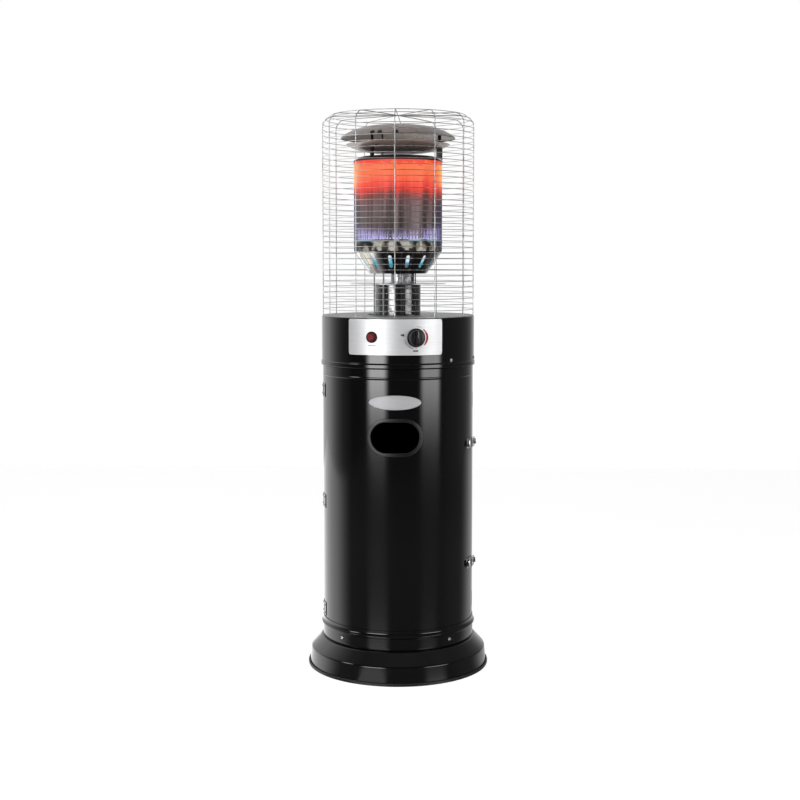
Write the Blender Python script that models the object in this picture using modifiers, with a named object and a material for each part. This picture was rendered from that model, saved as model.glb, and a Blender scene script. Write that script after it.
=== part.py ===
"""Gas patio heater: a round bottle housing, a control collar and a guarded radiant burner on top.

Metres, +Z up. The origin is the bottom centre, on the floor, and the front faces -Y. Angles round the body are
in degrees from the front, positive towards +X. Pieces on the wall are built in a frame of their own, whose X
runs to the left as seen from outside, Y outward and Z up.
Run it with: blender --background --python part.py
"""

import math

import bmesh
import bpy
from mathutils import Matrix, Vector

CLEAR = 0.0003  # between pieces that touch
SIDES = 40  # facets of the large turned pieces
SMALL_SIDES = 12  # facets of pins, barrels and screws
SHEET = 0.0012

# Housing wall, which the base, the collars, the deck and the guard follow
WALL_RADIUS = 0.1840
WALL_SEAT = 0.0006

# Base
TRIM_RADIUS = 0.2225
TRIM_HEIGHT = 0.0075
TRIM_WIDTH = 0.008
TRIM_LIP = 0.0040
SKIRT_TAPER = 0.0025
CREASE_INSET = 0.0035
SKIRT_FOOT_RADIUS = TRIM_RADIUS - TRIM_LIP
SKIRT_TOP_RADIUS = SKIRT_FOOT_RADIUS - SKIRT_TAPER
SKIRT_TOP = 0.0365
SKIRT_FOOT = 0.0030
CREASE_RADIUS = SKIRT_TOP_RADIUS - CREASE_INSET
CREASE_HEIGHT = 0.0465
SHOULDER_STEP = 0.0040
SHOULDER_RADIUS = WALL_RADIUS + SHOULDER_STEP
SHOULDER_TOP = 0.0738
STEP_TOP = 0.0975

# Door and rear shell
DOOR_BOTTOM = 0.1230
DOOR_TOP = 0.7417
SHELL_BOTTOM = 0.0790
SHELL_TOP = 0.7700
HINGE_ANGLE = -78.0
LATCH_ANGLE = 76.0
SEAM = 0.0013
VENT_SIZE = (0.009, 0.039)
VENT_HEIGHTS = (0.1630, 0.6575)
VENT_FIRST = 84.0
VENT_LAST = 255.0
VENT_COUNT = 8

# Collars
COLLAR_STAND = 0.0025
COLLAR_RADIUS = WALL_RADIUS + COLLAR_STAND
COLLAR_GAP = 0.0015
LOWER_COLLAR_TOP = 0.1215
LOWER_BEAD = 0.0165
LOWER_BEAD_PROUD = 0.0030
LOWER_BEAD_RADIUS = COLLAR_RADIUS + LOWER_BEAD_PROUD
UPPER_COLLAR_BOTTOM = 0.7432
UPPER_COLLAR_HEIGHT = 0.1180
UPPER_COLLAR_TOP = UPPER_COLLAR_BOTTOM + UPPER_COLLAR_HEIGHT
UPPER_BEAD = 0.0103
UPPER_BEAD_PROUD = 0.0020
UPPER_BEAD_RADIUS = COLLAR_RADIUS + UPPER_BEAD_PROUD
COLLAR_FLANGE = 0.0120
SCREW_RADIUS = 0.0020
SCREW_HEAD_RADIUS = 0.0042
SCREW_HEAD = 0.0024
SCREW_REACH = 0.0060
LOWER_SCREWS = {"left": -43.5, "right": 43.5}
LOWER_SCREW_HEIGHT = 0.0920
UPPER_SCREWS = {"front": 44.5, "side": 82.0}
UPPER_SCREW_HEIGHT = 0.7605

# Window and plate on the door
WINDOW_WIDTH = 0.1160
WINDOW_HEIGHT = 0.0726
WINDOW_CENTRE = 0.5820
TRIM_NECK = 0.0020
TRIM_FLANGE = 0.0087
TRIM_PROUD = 0.0020
PLATE_WIDTH = 0.1250
PLATE_HEIGHT = 0.0340
PLATE_CENTRE = 0.6645
PLATE_THICKNESS = 0.0010

# Door hinges
HINGE_HEIGHTS = {"top": 0.6820, "middle": 0.4100, "bottom": 0.1420}
HINGE_LENGTH = 0.0330
HINGE_LEAF_WIDTH = 0.0240
HINGE_LEAF = 0.0010
BARREL_RADIUS = 0.0025
LEAF_RELIEF = 0.0014  # from a barrel to the other leaf's edge, so that the door can open past a right angle
HINGE_PIN_RADIUS = 0.0012
RUNNING = 0.0001

# Latches
LATCH_HEIGHTS = {"upper": 0.5550, "lower": 0.2605}
LATCH_PIVOT_ANGLE = 74.3
LATCH_PIVOT_STAND = 0.0055
LATCH_BARREL_RADIUS = 0.0026
LATCH_PIN_RADIUS = 0.0010
LATCH_LEVER_HEIGHT = 0.0160
LATCH_LEVER_LENGTH = 0.0245
LATCH_EAR = 0.0012
LATCH_PLATE_HEIGHT = 0.0240
BAIL_PIVOT = 0.0052
BAIL_RADIUS = 0.0010
BAIL_ARM = 0.0110
BAIL_ANGLE = 84.3
BAIL_STAND = 0.0045
CATCH_LIP = 0.0095
CATCH_HEIGHT = 0.0140
CATCH_LIP_THICKNESS = 0.0015

# Control panel
PANEL_TOP = UPPER_COLLAR_TOP - 0.0017
PANEL_BOTTOM = PANEL_TOP - 0.0840
PANEL_HALF_ANGLE = 35.7
PANEL_THICKNESS = 0.0010
PANEL_CORNER = 0.0060
KNOB_ANGLE = 15.0
KNOB_HEIGHT = PANEL_TOP - 0.0430
KNOB_RADIUS = 0.0218
KNOB_SKIRT = 0.0040
KNOB_BODY = 0.0130
KNOB_RIDGE = (0.0085, 0.0070)
KNOB_GAP = 0.0036
SPINDLE_RADIUS = 0.0030
PLUNGER_RADIUS = 0.0050
PLUNGER_LENGTH = 0.0120
VALVE_SIZE = (0.0300, 0.0340, 0.0340)
VALVE_BORE = 0.0056
VALVE_BORE_DEPTH = 0.0200
SPIGOT_RADIUS = 0.0045
SPIGOT_LENGTH = 0.0260
IGNITER_ANGLE = -16.7
IGNITER_HEIGHT = PANEL_TOP - 0.0420
IGNITER_FLANGE_RADIUS = 0.0135
IGNITER_FLANGE = 0.0030
IGNITER_RADIUS = 0.0105
IGNITER_LENGTH = 0.0400
IGNITER_BORE = 0.0090
BUTTON_RADIUS = 0.0086
BUTTON_PROUD = 0.0060
BUTTON_LENGTH = 0.0260
TILT_SWITCH_SIZE = (0.0340, 0.0220, 0.0220)
TILT_SWITCH_PLACE = (0.1400, 140.0)

# Deck, burner supply and supports
DECK_INSET = 0.0013
DECK_RADIUS = COLLAR_RADIUS - DECK_INSET
DECK_THICKNESS = 0.0015
DECK_HOLE = 0.0300
SHROUD_RADIUS = 0.0553
SHROUD_WALL = 0.0010
BAFFLE_RADIUS = 0.1170
BAFFLE_TOP = 0.9400
LEG_RADIUS = 0.0575
LEG_WIDTH = 0.0160
LEG_FOOT = 0.0160
LEG_THICKNESS = 0.0015
LEG_LUG = 0.0025
LEG_ANGLES = {"front": 27.4, "rear": 147.4, "side": 267.4}
MIXER_RADIUS = 0.0175
MIXER_WALL = 0.0012
MIXER_BOTTOM = UPPER_COLLAR_TOP + 0.0088
MIXER_FLANGE = 0.0260
HEAD_RADIUS = 0.0600
HEAD_BOTTOM = 0.9960
HEAD_HEIGHT = 0.0180
JET_RADIUS = 0.0080
JET_BOTTOM = UPPER_COLLAR_TOP - 0.0152
JET_TOP = JET_BOTTOM + 0.0280
MAIN_TUBE_RADIUS = 0.0040
LEAD_RADIUS = 0.0605
PILOT_OUTLET_INSET = 0.0215
THERMOCOUPLE_OUTLET_INSET = 0.0265
OUTLET_BEND = 0.0250
PILOT_ANGLE = -33.0
PILOT_TUBE_RADIUS = 0.0020
PILOT_TOP = 0.9850
THERMOCOUPLE_ANGLE = 46.4
THERMOCOUPLE_RADIUS = 0.0014
THERMOCOUPLE_TOP = 1.0030
ELECTRODE_ANGLE = 9.5
ELECTRODE_RADIUS = 0.0014
ELECTRODE_TOP = 1.0000

# Cone, emitter and reflectors
CONE_BOTTOM = 0.9640
CONE_BOTTOM_RADIUS = 0.0703
CONE_FLANGE_RADIUS = 0.0540
CONE_TOP = 1.0180
CONE_BAND_TOP = 1.0300
CONE_WALL = 0.0008
CONE_SLOT = (0.0090, 0.0300)
CONE_SLOTS = 14
EMITTER_RADIUS = 0.1075
EMITTER_WALL = 0.0011
EMITTER_TOP = 1.2340
LID_RADIUS = 0.1086
LID_CROWN_RADIUS = 0.0920
LID_HEIGHT = 0.0120
LID_TOP = EMITTER_TOP + LID_HEIGHT
LID_FLANGE = 0.0029
STRAP_INNER = 0.0940
STRAP_OUTER = 0.1085
STRAP_SHOULDER = 0.0030
STRAP_THICKNESS = 0.0015
STRAP_ANGLES = {"right": 85.0, "left": -35.0, "rear": -155.0}
REFLECTOR_WALL = 0.0008
DISH_RADIUS = 0.1260
DISH_STAND = 0.0296
DISH_DEPTH = 0.0201
DISH_RIM = LID_TOP + DISH_STAND
DISH_LOW = DISH_RIM - DISH_DEPTH
DOME_RADIUS = 0.1390
DOME_STAND = 0.0174
DOME_RISE = 0.0360
DOME_RIM = DISH_RIM + DOME_STAND
DOME_APEX = DOME_RIM + DOME_RISE
DOME_LIP = 0.0030
REFLECTOR_STATIONS = (0.0, 0.055, 0.100)

# Wire guard
GUARD_INSET = 0.0014
GUARD_RADIUS = DECK_RADIUS - GUARD_INSET
GUARD_WIRE = 0.0022
GUARD_UPRIGHTS = 12
GUARD_RINGS = 17
GUARD_HEADROOM = 0.0190
GUARD_SHOULDER = 0.0349
GUARD_FIRST_RING = 0.8779
GUARD_TOP = DOME_APEX + GUARD_HEADROOM
GUARD_PITCH = (GUARD_TOP - GUARD_SHOULDER - GUARD_FIRST_RING) / (GUARD_RINGS - 1)
GUARD_CROWN = ((0.0, 0.0260), (0.0023, 0.0160), (0.0083, 0.0085), (0.0183, 0.0032), (0.0738, 0.0018))
GUARD_HUB_RADIUS = 0.0120

DECK_TOP = UPPER_COLLAR_TOP + CLEAR + DECK_THICKNESS
HINGE_RADIUS = WALL_RADIUS - SHEET / 2
PANEL_FRONT = COLLAR_RADIUS + CLEAR + PANEL_THICKNESS
LATCH_PIVOT_RADIUS = WALL_RADIUS + LATCH_PIVOT_STAND
BAIL_BAR_RADIUS = WALL_RADIUS + BAIL_STAND
BAFFLE_UNDERSIDE = BAFFLE_TOP - SHEET

COLOURS = {
    "gloss_black": ((0.012, 0.012, 0.013), 0.18, 0.0),
    "black_plastic": ((0.02, 0.02, 0.02), 0.45, 0.0),
    "rubber": ((0.015, 0.015, 0.015), 0.8, 0.0),
    "deck_grey": ((0.12, 0.12, 0.125), 0.45, 0.6),
    "brushed_steel": ((0.62, 0.62, 0.64), 0.32, 1.0),
    "zinc": ((0.7, 0.7, 0.72), 0.3, 1.0),
    "wire": ((0.75, 0.75, 0.76), 0.25, 1.0),
    "heat_steel": ((0.35, 0.28, 0.26), 0.25, 1.0),
    "polished_steel": ((0.6, 0.58, 0.58), 0.15, 1.0),
    "glowing_steel": ((0.85, 0.16, 0.04), 0.5, 0.5),
    "dark_steel": ((0.03, 0.03, 0.032), 0.5, 0.7),
    "aluminium": ((0.6, 0.6, 0.61), 0.4, 1.0),
    "brass": ((0.6, 0.42, 0.16), 0.3, 1.0),
    "copper": ((0.62, 0.3, 0.18), 0.3, 1.0),
    "button_red": ((0.12, 0.012, 0.01), 0.35, 0.0),
}


def clear_scene():
    """Remove what the file holds and make the two collections."""
    for obj in list(bpy.data.objects):
        bpy.data.objects.remove(obj, do_unlink=True)
    made = []
    for name in ("patio_heater", "cutters"):
        collection = bpy.data.collections.new(name)
        bpy.context.scene.collection.children.link(collection)
        made.append(collection)
    return made


PARTS, CUTTERS = clear_scene()


def material(finish):
    """The Principled material of a finish, made once."""
    found = bpy.data.materials.get(finish)
    if found:
        return found
    colour, roughness, metallic = COLOURS[finish]
    made = bpy.data.materials.new(finish)
    made.use_nodes = True
    shader = made.node_tree.nodes["Principled BSDF"]
    shader.inputs["Base Color"].default_value = (*colour, 1.0)
    shader.inputs["Roughness"].default_value = roughness
    shader.inputs["Metallic"].default_value = metallic
    return made


def around(radius, angle, height):
    """The point at this radius and angle round the body."""
    turn = math.radians(angle)
    return Vector((radius * math.sin(turn), -radius * math.cos(turn), height))


def wall_frame(name, radius, angle, height):
    """An empty on the wall: X to the left as seen from outside, Y outward, Z up."""
    empty = bpy.data.objects.new(name, None)
    PARTS.objects.link(empty)
    empty.location = around(radius, angle, height)
    empty.rotation_euler = (0.0, 0.0, math.radians(angle + 180))
    return empty


def add(name, mesh, finish=None, at=(0, 0, 0), turn=(0, 0, 0), parent=None):
    """An object in the parts collection, or a cutter where it has no finish."""
    obj = bpy.data.objects.new(name, mesh)
    if finish:
        PARTS.objects.link(obj)
        mesh.materials.append(material(finish))
    else:
        CUTTERS.objects.link(obj)
        obj.hide_render = True
        obj.display_type = "WIRE"
    obj.location = at
    obj.rotation_euler = turn
    obj.parent = parent
    return obj


def mesh_from(name, shape):
    """The bmesh as a mesh, shaded smooth with sharp edges kept."""
    mesh = bpy.data.meshes.new(name)
    shape.to_mesh(mesh)
    shape.free()
    mesh.shade_smooth()
    mesh.set_sharp_from_angle(angle=math.radians(35))
    return mesh


def box(name, size, finish=None, at=(0, 0, 0), turn=(0, 0, 0), parent=None, bevel=0.0):
    shape = bmesh.new()
    bmesh.ops.create_cube(shape, size=1.0, matrix=Matrix.Diagonal((*size, 1.0)))
    obj = add(name, mesh_from(name, shape), finish, at, turn, parent)
    if bevel:
        edge = obj.modifiers.new("edges", "BEVEL")
        edge.width = bevel
        edge.segments = 1
    return obj


AXES = {
    "Z": Matrix.Identity(4),
    "Y": Matrix.Rotation(math.radians(-90), 4, "X"),
    "X": Matrix.Rotation(math.radians(90), 4, "Y"),
}


def cylinder(name, radius, length, finish=None, at=(0, 0, 0), axis="Z", parent=None, tip=None, sides=SMALL_SIDES):
    """A cylinder centred on its own origin, or a cone whose far end has the radius tip."""
    shape = bmesh.new()
    bmesh.ops.create_cone(
        shape, cap_ends=True, segments=sides, radius1=radius, radius2=radius if tip is None else tip,
        depth=length, matrix=AXES[axis],
    )
    return add(name, mesh_from(name, shape), finish, at, parent=parent)


def turned(name, profile, finish=None, closed=True, wall=0.0, start=0.0, sweep=360.0, sides=SIDES, **place):
    """A profile of (radius, height) points, down its outer side, turned about Z.

    A closed profile makes a ring, one that ends on the axis a solid, and one with a wall an open sheet that is
    thickened inward.
    """
    shape = bmesh.new()
    points = [shape.verts.new(around(radius, start, height)) for radius, height in profile]
    for first, second in zip(points, points[1:]):
        shape.edges.new((first, second))
    if closed:
        shape.edges.new((points[-1], points[0]))
    mesh = bpy.data.meshes.new(name)
    shape.to_mesh(mesh)
    shape.free()
    obj = add(name, mesh, finish, **place)
    screw = obj.modifiers.new("turn", "SCREW")
    screw.angle = math.radians(sweep)
    screw.steps = screw.render_steps = sides
    screw.use_merge_vertices = sweep == 360.0
    screw.merge_threshold = 0.00002
    screw.use_smooth_shade = True
    if wall:
        thicken(obj, wall, inward=True)
    return obj


def thicken(obj, wall, inward=False):
    solid = obj.modifiers.new("wall", "SOLIDIFY")
    solid.thickness = wall
    solid.offset = -1.0 if inward else 1.0
    solid.use_even_offset = True


def cut(obj, *cutters):
    """Cut each cutter from the object, as modifiers that stay on it."""
    for cutter in cutters:
        step = obj.modifiers.new("cut " + cutter.name, "BOOLEAN")
        step.operation = "DIFFERENCE"
        step.object = cutter


def join(obj, *others):
    """Join shapes into the object."""
    for other in others:
        step = obj.modifiers.new("join " + other.name, "BOOLEAN")
        step.operation = "UNION"
        step.object = other


def as_mesh(obj, name, finish=None):
    """A curve as a mesh object in the same place, with its caps welded."""
    bpy.context.view_layer.update()
    graph = bpy.context.evaluated_depsgraph_get()
    mesh = bpy.data.meshes.new_from_object(obj.evaluated_get(graph))
    shape = bmesh.new()
    shape.from_mesh(mesh)
    bmesh.ops.remove_doubles(shape, verts=shape.verts, dist=0.000002)
    bmesh.ops.recalc_face_normals(shape, faces=shape.faces)
    shape.to_mesh(mesh)
    shape.free()
    place, turn, parent = obj.location.copy(), obj.rotation_euler.copy(), obj.parent
    bpy.data.objects.remove(obj, do_unlink=True)
    mesh.materials.clear()
    return add(name, mesh, finish, place, turn, parent)


def outline(name, points, thickness, finish=None, holes=(), **place):
    """A flat outline in its own XY plane, thickened both ways along Z, as a mesh."""
    curve = bpy.data.curves.new(name, "CURVE")
    curve.dimensions = "2D"
    curve.fill_mode = "BOTH"
    curve.extrude = thickness / 2
    for loop in (points, *holes):
        spline = curve.splines.new("POLY")
        spline.points.add(len(loop) - 1)
        for point, (x, y) in zip(spline.points, loop):
            point.co = (x, y, 0.0, 1.0)
        spline.use_cyclic_u = True
    return as_mesh(add(name + "_curve", curve, **place), name, finish)


def tube(name, points, radius, finish=None, resolution=1, parent=None, **place):
    """A round wire or pipe along the points, with filled ends."""
    curve = bpy.data.curves.new(name, "CURVE")
    curve.dimensions = "3D"
    curve.bevel_depth = radius
    curve.bevel_resolution = resolution
    curve.use_fill_caps = True
    spline = curve.splines.new("POLY")
    spline.points.add(len(points) - 1)
    for point, place_at in zip(spline.points, points):
        point.co = (*place_at, 1.0)
    return add(name, curve, finish, parent=parent, **place)


def smooth_route(points, steps=3):
    """Points on a smooth curve through a tube's own points."""
    points = [Vector(point) for point in points]
    ends = [points[0] * 2 - points[1], *points, points[-1] * 2 - points[-2]]
    route = []
    for a, b, c, d in zip(ends, ends[1:], ends[2:], ends[3:]):
        for step in range(steps):
            t = step / steps
            route.append(
                0.5 * (2 * b + (c - a) * t + (2 * a - 5 * b + 4 * c - d) * t**2 + (3 * b - a - 3 * c + d) * t**3)
            )
    return [*route, points[-1]]


def wrapped(name, radius, angle, height, half_width, half_height, thickness, finish=None, columns=6):
    """A plate bent round the body. half_height is a function of the place across it, from -1 to 1."""
    shape = bmesh.new()
    bmesh.ops.create_grid(shape, x_segments=columns, y_segments=1, size=1.0)
    for vert in shape.verts:
        across, up = math.sin(vert.co.x * math.pi / 2), round(vert.co.y)
        turn = angle + math.degrees(across * half_width / radius)
        vert.co = around(radius, turn, height + up * half_height(across))
    bmesh.ops.remove_doubles(shape, verts=shape.verts, dist=0.00002)
    bmesh.ops.recalc_face_normals(shape, faces=shape.faces)
    obj = add(name, mesh_from(name, shape), finish)
    thicken(obj, thickness)
    return obj


def stadium(width, height, steps=8, splits=3):
    """Outline points of a slot with full-round ends, from its right end round."""
    radius, straight = height / 2, (width - height) / 2
    points = []
    for side in (1, -1):
        points += [
            (side * straight + side * radius * math.cos(turn), side * radius * math.sin(turn))
            for turn in (math.radians(-90 + 180 * step / steps) for step in range(steps + 1))
        ]
        points += [(side * straight * (1 - 2 * step / splits), side * radius) for step in range(1, splits)]
    return points


def arc(centre, radius, first, last, steps):
    """Points on an arc, from one angle to the other in degrees."""
    turns = (math.radians(first + (last - first) * step / steps) for step in range(steps + 1))
    return [(centre[0] + radius * math.cos(turn), centre[1] + radius * math.sin(turn)) for turn in turns]


def on_profile(profile, radius):
    """Height of a profile of (radius, height) points at this radius."""
    points = sorted(profile)
    for (r0, z0), (r1, z1) in zip(points, points[1:]):
        if r0 <= radius <= r1 and r1 > r0:
            return z0 + (z1 - z0) * (radius - r0) / (r1 - r0)
    raise ValueError("radius is outside the profile")


def build_base():
    """The pressed pan with the bottle's platform, on its edge trim."""
    turned(
        "base_pan",
        [
            (0.0, STEP_TOP),
            (WALL_RADIUS - SHEET - WALL_SEAT - SHEET, STEP_TOP),
            (WALL_RADIUS - SHEET - WALL_SEAT, STEP_TOP - SHEET),
            (WALL_RADIUS - SHEET - WALL_SEAT, SHOULDER_TOP),
            (SHOULDER_RADIUS, SHOULDER_TOP),
            (CREASE_RADIUS, CREASE_HEIGHT),
            (SKIRT_TOP_RADIUS, SKIRT_TOP),
            (SKIRT_FOOT_RADIUS, SKIRT_FOOT),
        ],
        "gloss_black", closed=False, wall=SHEET,
    )
    inner, seat = TRIM_RADIUS - TRIM_WIDTH, SKIRT_FOOT_RADIUS + CLEAR
    turned(
        "base_edge_trim",
        [
            (seat, TRIM_HEIGHT), (TRIM_RADIUS, TRIM_HEIGHT), (TRIM_RADIUS, 0.0), (inner, 0.0),
            (inner, SKIRT_FOOT - CLEAR), (seat, SKIRT_FOOT - CLEAR),
        ],
        "rubber",
    )


def collar_screw(name, angle, height):
    """A pan-head screw, its head on the collar."""
    frame = wall_frame(name + "_frame", COLLAR_RADIUS, angle, height)
    turned(
        name,
        [
            (0.0, SCREW_HEAD), (SCREW_HEAD_RADIUS * 0.7, SCREW_HEAD), (SCREW_HEAD_RADIUS, SCREW_HEAD / 2),
            (SCREW_HEAD_RADIUS, CLEAR), (SCREW_RADIUS, CLEAR), (SCREW_RADIUS, -SCREW_REACH), (0.0, -SCREW_REACH),
        ],
        "zinc", closed=False, sides=SMALL_SIDES, turn=(math.radians(-90), 0, 0), parent=frame,
    )
    return cylinder(
        name + "_hole", SCREW_RADIUS + CLEAR, 4 * SCREW_REACH, axis="Y", parent=frame, sides=SMALL_SIDES
    )


def build_collars():
    """The beaded rings under and over the door, with their screws. Returns the holes the screws need."""
    bead = LOWER_COLLAR_TOP - LOWER_BEAD
    lower = turned(
        "lower_collar",
        [
            (WALL_RADIUS + COLLAR_GAP, LOWER_COLLAR_TOP), (LOWER_BEAD_RADIUS - 0.001, LOWER_COLLAR_TOP),
            (LOWER_BEAD_RADIUS, LOWER_COLLAR_TOP - 0.002), (LOWER_BEAD_RADIUS, bead + 0.001),
            (COLLAR_RADIUS, bead - 0.002), (COLLAR_RADIUS, SHOULDER_TOP + CLEAR),
        ],
        "gloss_black", closed=False, wall=SHEET,
    )
    bead = UPPER_COLLAR_BOTTOM + UPPER_BEAD
    upper = turned(
        "upper_collar",
        [
            (COLLAR_RADIUS - COLLAR_FLANGE, UPPER_COLLAR_TOP), (COLLAR_RADIUS - 0.001, UPPER_COLLAR_TOP),
            (COLLAR_RADIUS, UPPER_COLLAR_TOP - 0.001), (COLLAR_RADIUS, bead + 0.0015), (UPPER_BEAD_RADIUS, bead),
            (UPPER_BEAD_RADIUS, UPPER_COLLAR_BOTTOM + 0.001), (UPPER_BEAD_RADIUS - 0.001, UPPER_COLLAR_BOTTOM),
        ],
        "gloss_black", closed=False, wall=SHEET,
    )
    low = [
        collar_screw(f"lower_collar_screw_{side}", angle, LOWER_SCREW_HEIGHT) for side, angle in LOWER_SCREWS.items()
    ]
    high = [
        collar_screw(f"upper_collar_screw_{side}", angle, UPPER_SCREW_HEIGHT) for side, angle in UPPER_SCREWS.items()
    ]
    cut(lower, *low)
    cut(bpy.data.objects["base_pan"], *low)
    cut(upper, *high)
    return upper, high


def build_walls(upper_holes):
    """The fixed rear shell with its vents, and the door."""
    seam = math.degrees(SEAM / 2 / WALL_RADIUS)
    shell_start, shell_end = LATCH_ANGLE + seam, 360 + HINGE_ANGLE - math.degrees(0.0009 / WALL_RADIUS)
    shell = turned(
        "rear_shell", [(WALL_RADIUS, SHELL_TOP), (WALL_RADIUS, SHELL_BOTTOM)], "gloss_black", closed=False,
        wall=SHEET, start=shell_start, sweep=shell_end - shell_start, sides=round(SIDES * 0.57),
    )
    door_start, door_end = HINGE_ANGLE + math.degrees(0.0004 / WALL_RADIUS), LATCH_ANGLE - seam
    door = turned(
        "front_door", [(WALL_RADIUS, DOOR_TOP), (WALL_RADIUS, DOOR_BOTTOM)], "gloss_black", closed=False,
        wall=SHEET, start=door_start, sweep=door_end - door_start, sides=round(SIDES * 0.43),
    )
    depth = 0.03
    slots = []
    for height in VENT_HEIGHTS:
        for step in range(VENT_COUNT):
            angle = VENT_FIRST + (VENT_LAST - VENT_FIRST) * step / (VENT_COUNT - 1)
            slots.append((angle, height))
    vents = joined_boxes("vent_slots", slots, WALL_RADIUS, (VENT_SIZE[0], depth, VENT_SIZE[1]))
    cut(shell, vents, upper_holes[1])
    notches = joined_boxes(
        "hinge_notches", [(HINGE_ANGLE, height) for height in HINGE_HEIGHTS.values()], WALL_RADIUS,
        (2 * (BARREL_RADIUS + 0.0004), depth, HINGE_LENGTH + 0.001),
    )
    cut(shell, notches)
    cut(door, notches)
    grown = 2 * (TRIM_NECK + CLEAR + 0.0002)
    hole = outline(
        "window_hole", stadium(WINDOW_WIDTH + grown, WINDOW_HEIGHT + grown), depth,
        at=(0, -WALL_RADIUS, WINDOW_CENTRE), turn=(math.radians(90), 0, 0),
    )
    cut(door, hole)


def joined_boxes(name, places, radius, size):
    """One cutter of equal boxes set round the body at (angle, height) places."""
    shape = bmesh.new()
    for angle, height in places:
        matrix = (
            Matrix.Translation(around(radius, angle, height))
            @ Matrix.Rotation(math.radians(angle), 4, "Z")
            @ Matrix.Diagonal((*size, 1.0))
        )
        bmesh.ops.create_cube(shape, size=1.0, matrix=matrix)
    return add(name, mesh_from(name, shape))


def build_window():
    """The window's trim ring, bent to the door, and the oval plate above it."""
    inner = stadium(WINDOW_WIDTH, WINDOW_HEIGHT)
    neck = stadium(WINDOW_WIDTH + 2 * TRIM_NECK, WINDOW_HEIGHT + 2 * TRIM_NECK)
    flange = stadium(WINDOW_WIDTH + 2 * TRIM_FLANGE, WINDOW_HEIGHT + 2 * TRIM_FLANGE)
    back, seat, front = -SHEET - 0.0015, CLEAR, CLEAR + TRIM_PROUD
    section = [
        (inner, back), (inner, front - 0.0006), (neck, front), (flange, front - 0.0008), (flange, seat),
        (neck, seat), (neck, back),
    ]
    shape = bmesh.new()
    rings = []
    for points, stand in section:
        ring = []
        for x, z in points:
            radius = WALL_RADIUS + stand
            turn = math.degrees(x / WALL_RADIUS)
            ring.append(shape.verts.new(around(radius, turn, WINDOW_CENTRE + z)))
        rings.append(ring)
    for ring, following in zip(rings, rings[1:] + rings[:1]):
        count = len(ring)
        for k in range(count):
            shape.faces.new((ring[k], ring[(k + 1) % count], following[(k + 1) % count], following[k]))
    bmesh.ops.remove_doubles(shape, verts=shape.verts, dist=0.000005)
    bmesh.ops.recalc_face_normals(shape, faces=shape.faces)
    add("window_trim", mesh_from("window_trim", shape), "black_plastic")
    wrapped(
        "badge_plate", WALL_RADIUS + CLEAR, 0.0, PLATE_CENTRE, PLATE_WIDTH / 2,
        lambda across: PLATE_HEIGHT / 2 * math.sqrt(max(0.0, 1 - across**2)), PLATE_THICKNESS, "aluminium",
        columns=14,
    )


def hinge_leaf(name, frame, side, gaps):
    """A leaf on the wall's outside with barrels round the pin, cut at the gaps. side: -1 door, 1 shell."""
    angle = HINGE_ANGLE - side * math.degrees(HINGE_LEAF_WIDTH / 2 / WALL_RADIUS)
    height = frame.location.z
    leaf = wrapped(
        name, WALL_RADIUS + CLEAR, angle, height, HINGE_LEAF_WIDTH / 2, lambda across: HINGE_LENGTH / 2, HINGE_LEAF,
        "gloss_black", columns=4,
    )
    barrel = cylinder(name + "_barrel", BARREL_RADIUS, HINGE_LENGTH, parent=frame, at=(0, 0, 0))
    join(leaf, barrel)
    for k, (middle, length) in enumerate(gaps):
        cut(leaf, cylinder(f"{name}_gap_{k}", BARREL_RADIUS + LEAF_RELIEF, length, parent=frame, at=(0, 0, middle)))
    cut(leaf, cylinder(name + "_bore", HINGE_PIN_RADIUS + RUNNING, 2 * HINGE_LENGTH, parent=frame))
    return leaf


def build_hinges():
    """Three butt hinges on the left, their barrels in notches of the wall."""
    third = HINGE_LENGTH / 3
    for place, height in HINGE_HEIGHTS.items():
        frame = wall_frame(f"hinge_{place}_axis", HINGE_RADIUS, HINGE_ANGLE, height)
        hinge_leaf(f"hinge_{place}_door_leaf", frame, -1, [(0.0, third + CLEAR)])
        low, high = (third - CLEAR) / 2, HINGE_LENGTH / 2 + 0.002
        gaps = [(side * (low + high) / 2, high - low) for side in (1, -1)]
        hinge_leaf(f"hinge_{place}_shell_leaf", frame, 1, gaps)
        cylinder(f"hinge_{place}_pin", HINGE_PIN_RADIUS, HINGE_LENGTH, "zinc", parent=frame)


def lever_outline():
    """Side outline of a latch lever: barrel, bail lump and a tapering handle that follows the wall."""
    top, bottom = [], []
    for left, middle, half in (
        (BAIL_PIVOT, 0.0, 0.0024), (0.0090, -0.0006, 0.0013), (0.0140, -0.0011, 0.0010),
        (0.0190, -0.0014, 0.0009), (LATCH_LEVER_LENGTH - 0.0015, -0.0011, 0.0009),
        (LATCH_LEVER_LENGTH, -0.0002, 0.0006),
    ):
        top.append((left, middle + half))
        bottom.append((left, middle - half))
    return [*arc((0, 0), LATCH_BARREL_RADIUS, 90, 270, 8), *bottom, *reversed(top)]


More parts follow.
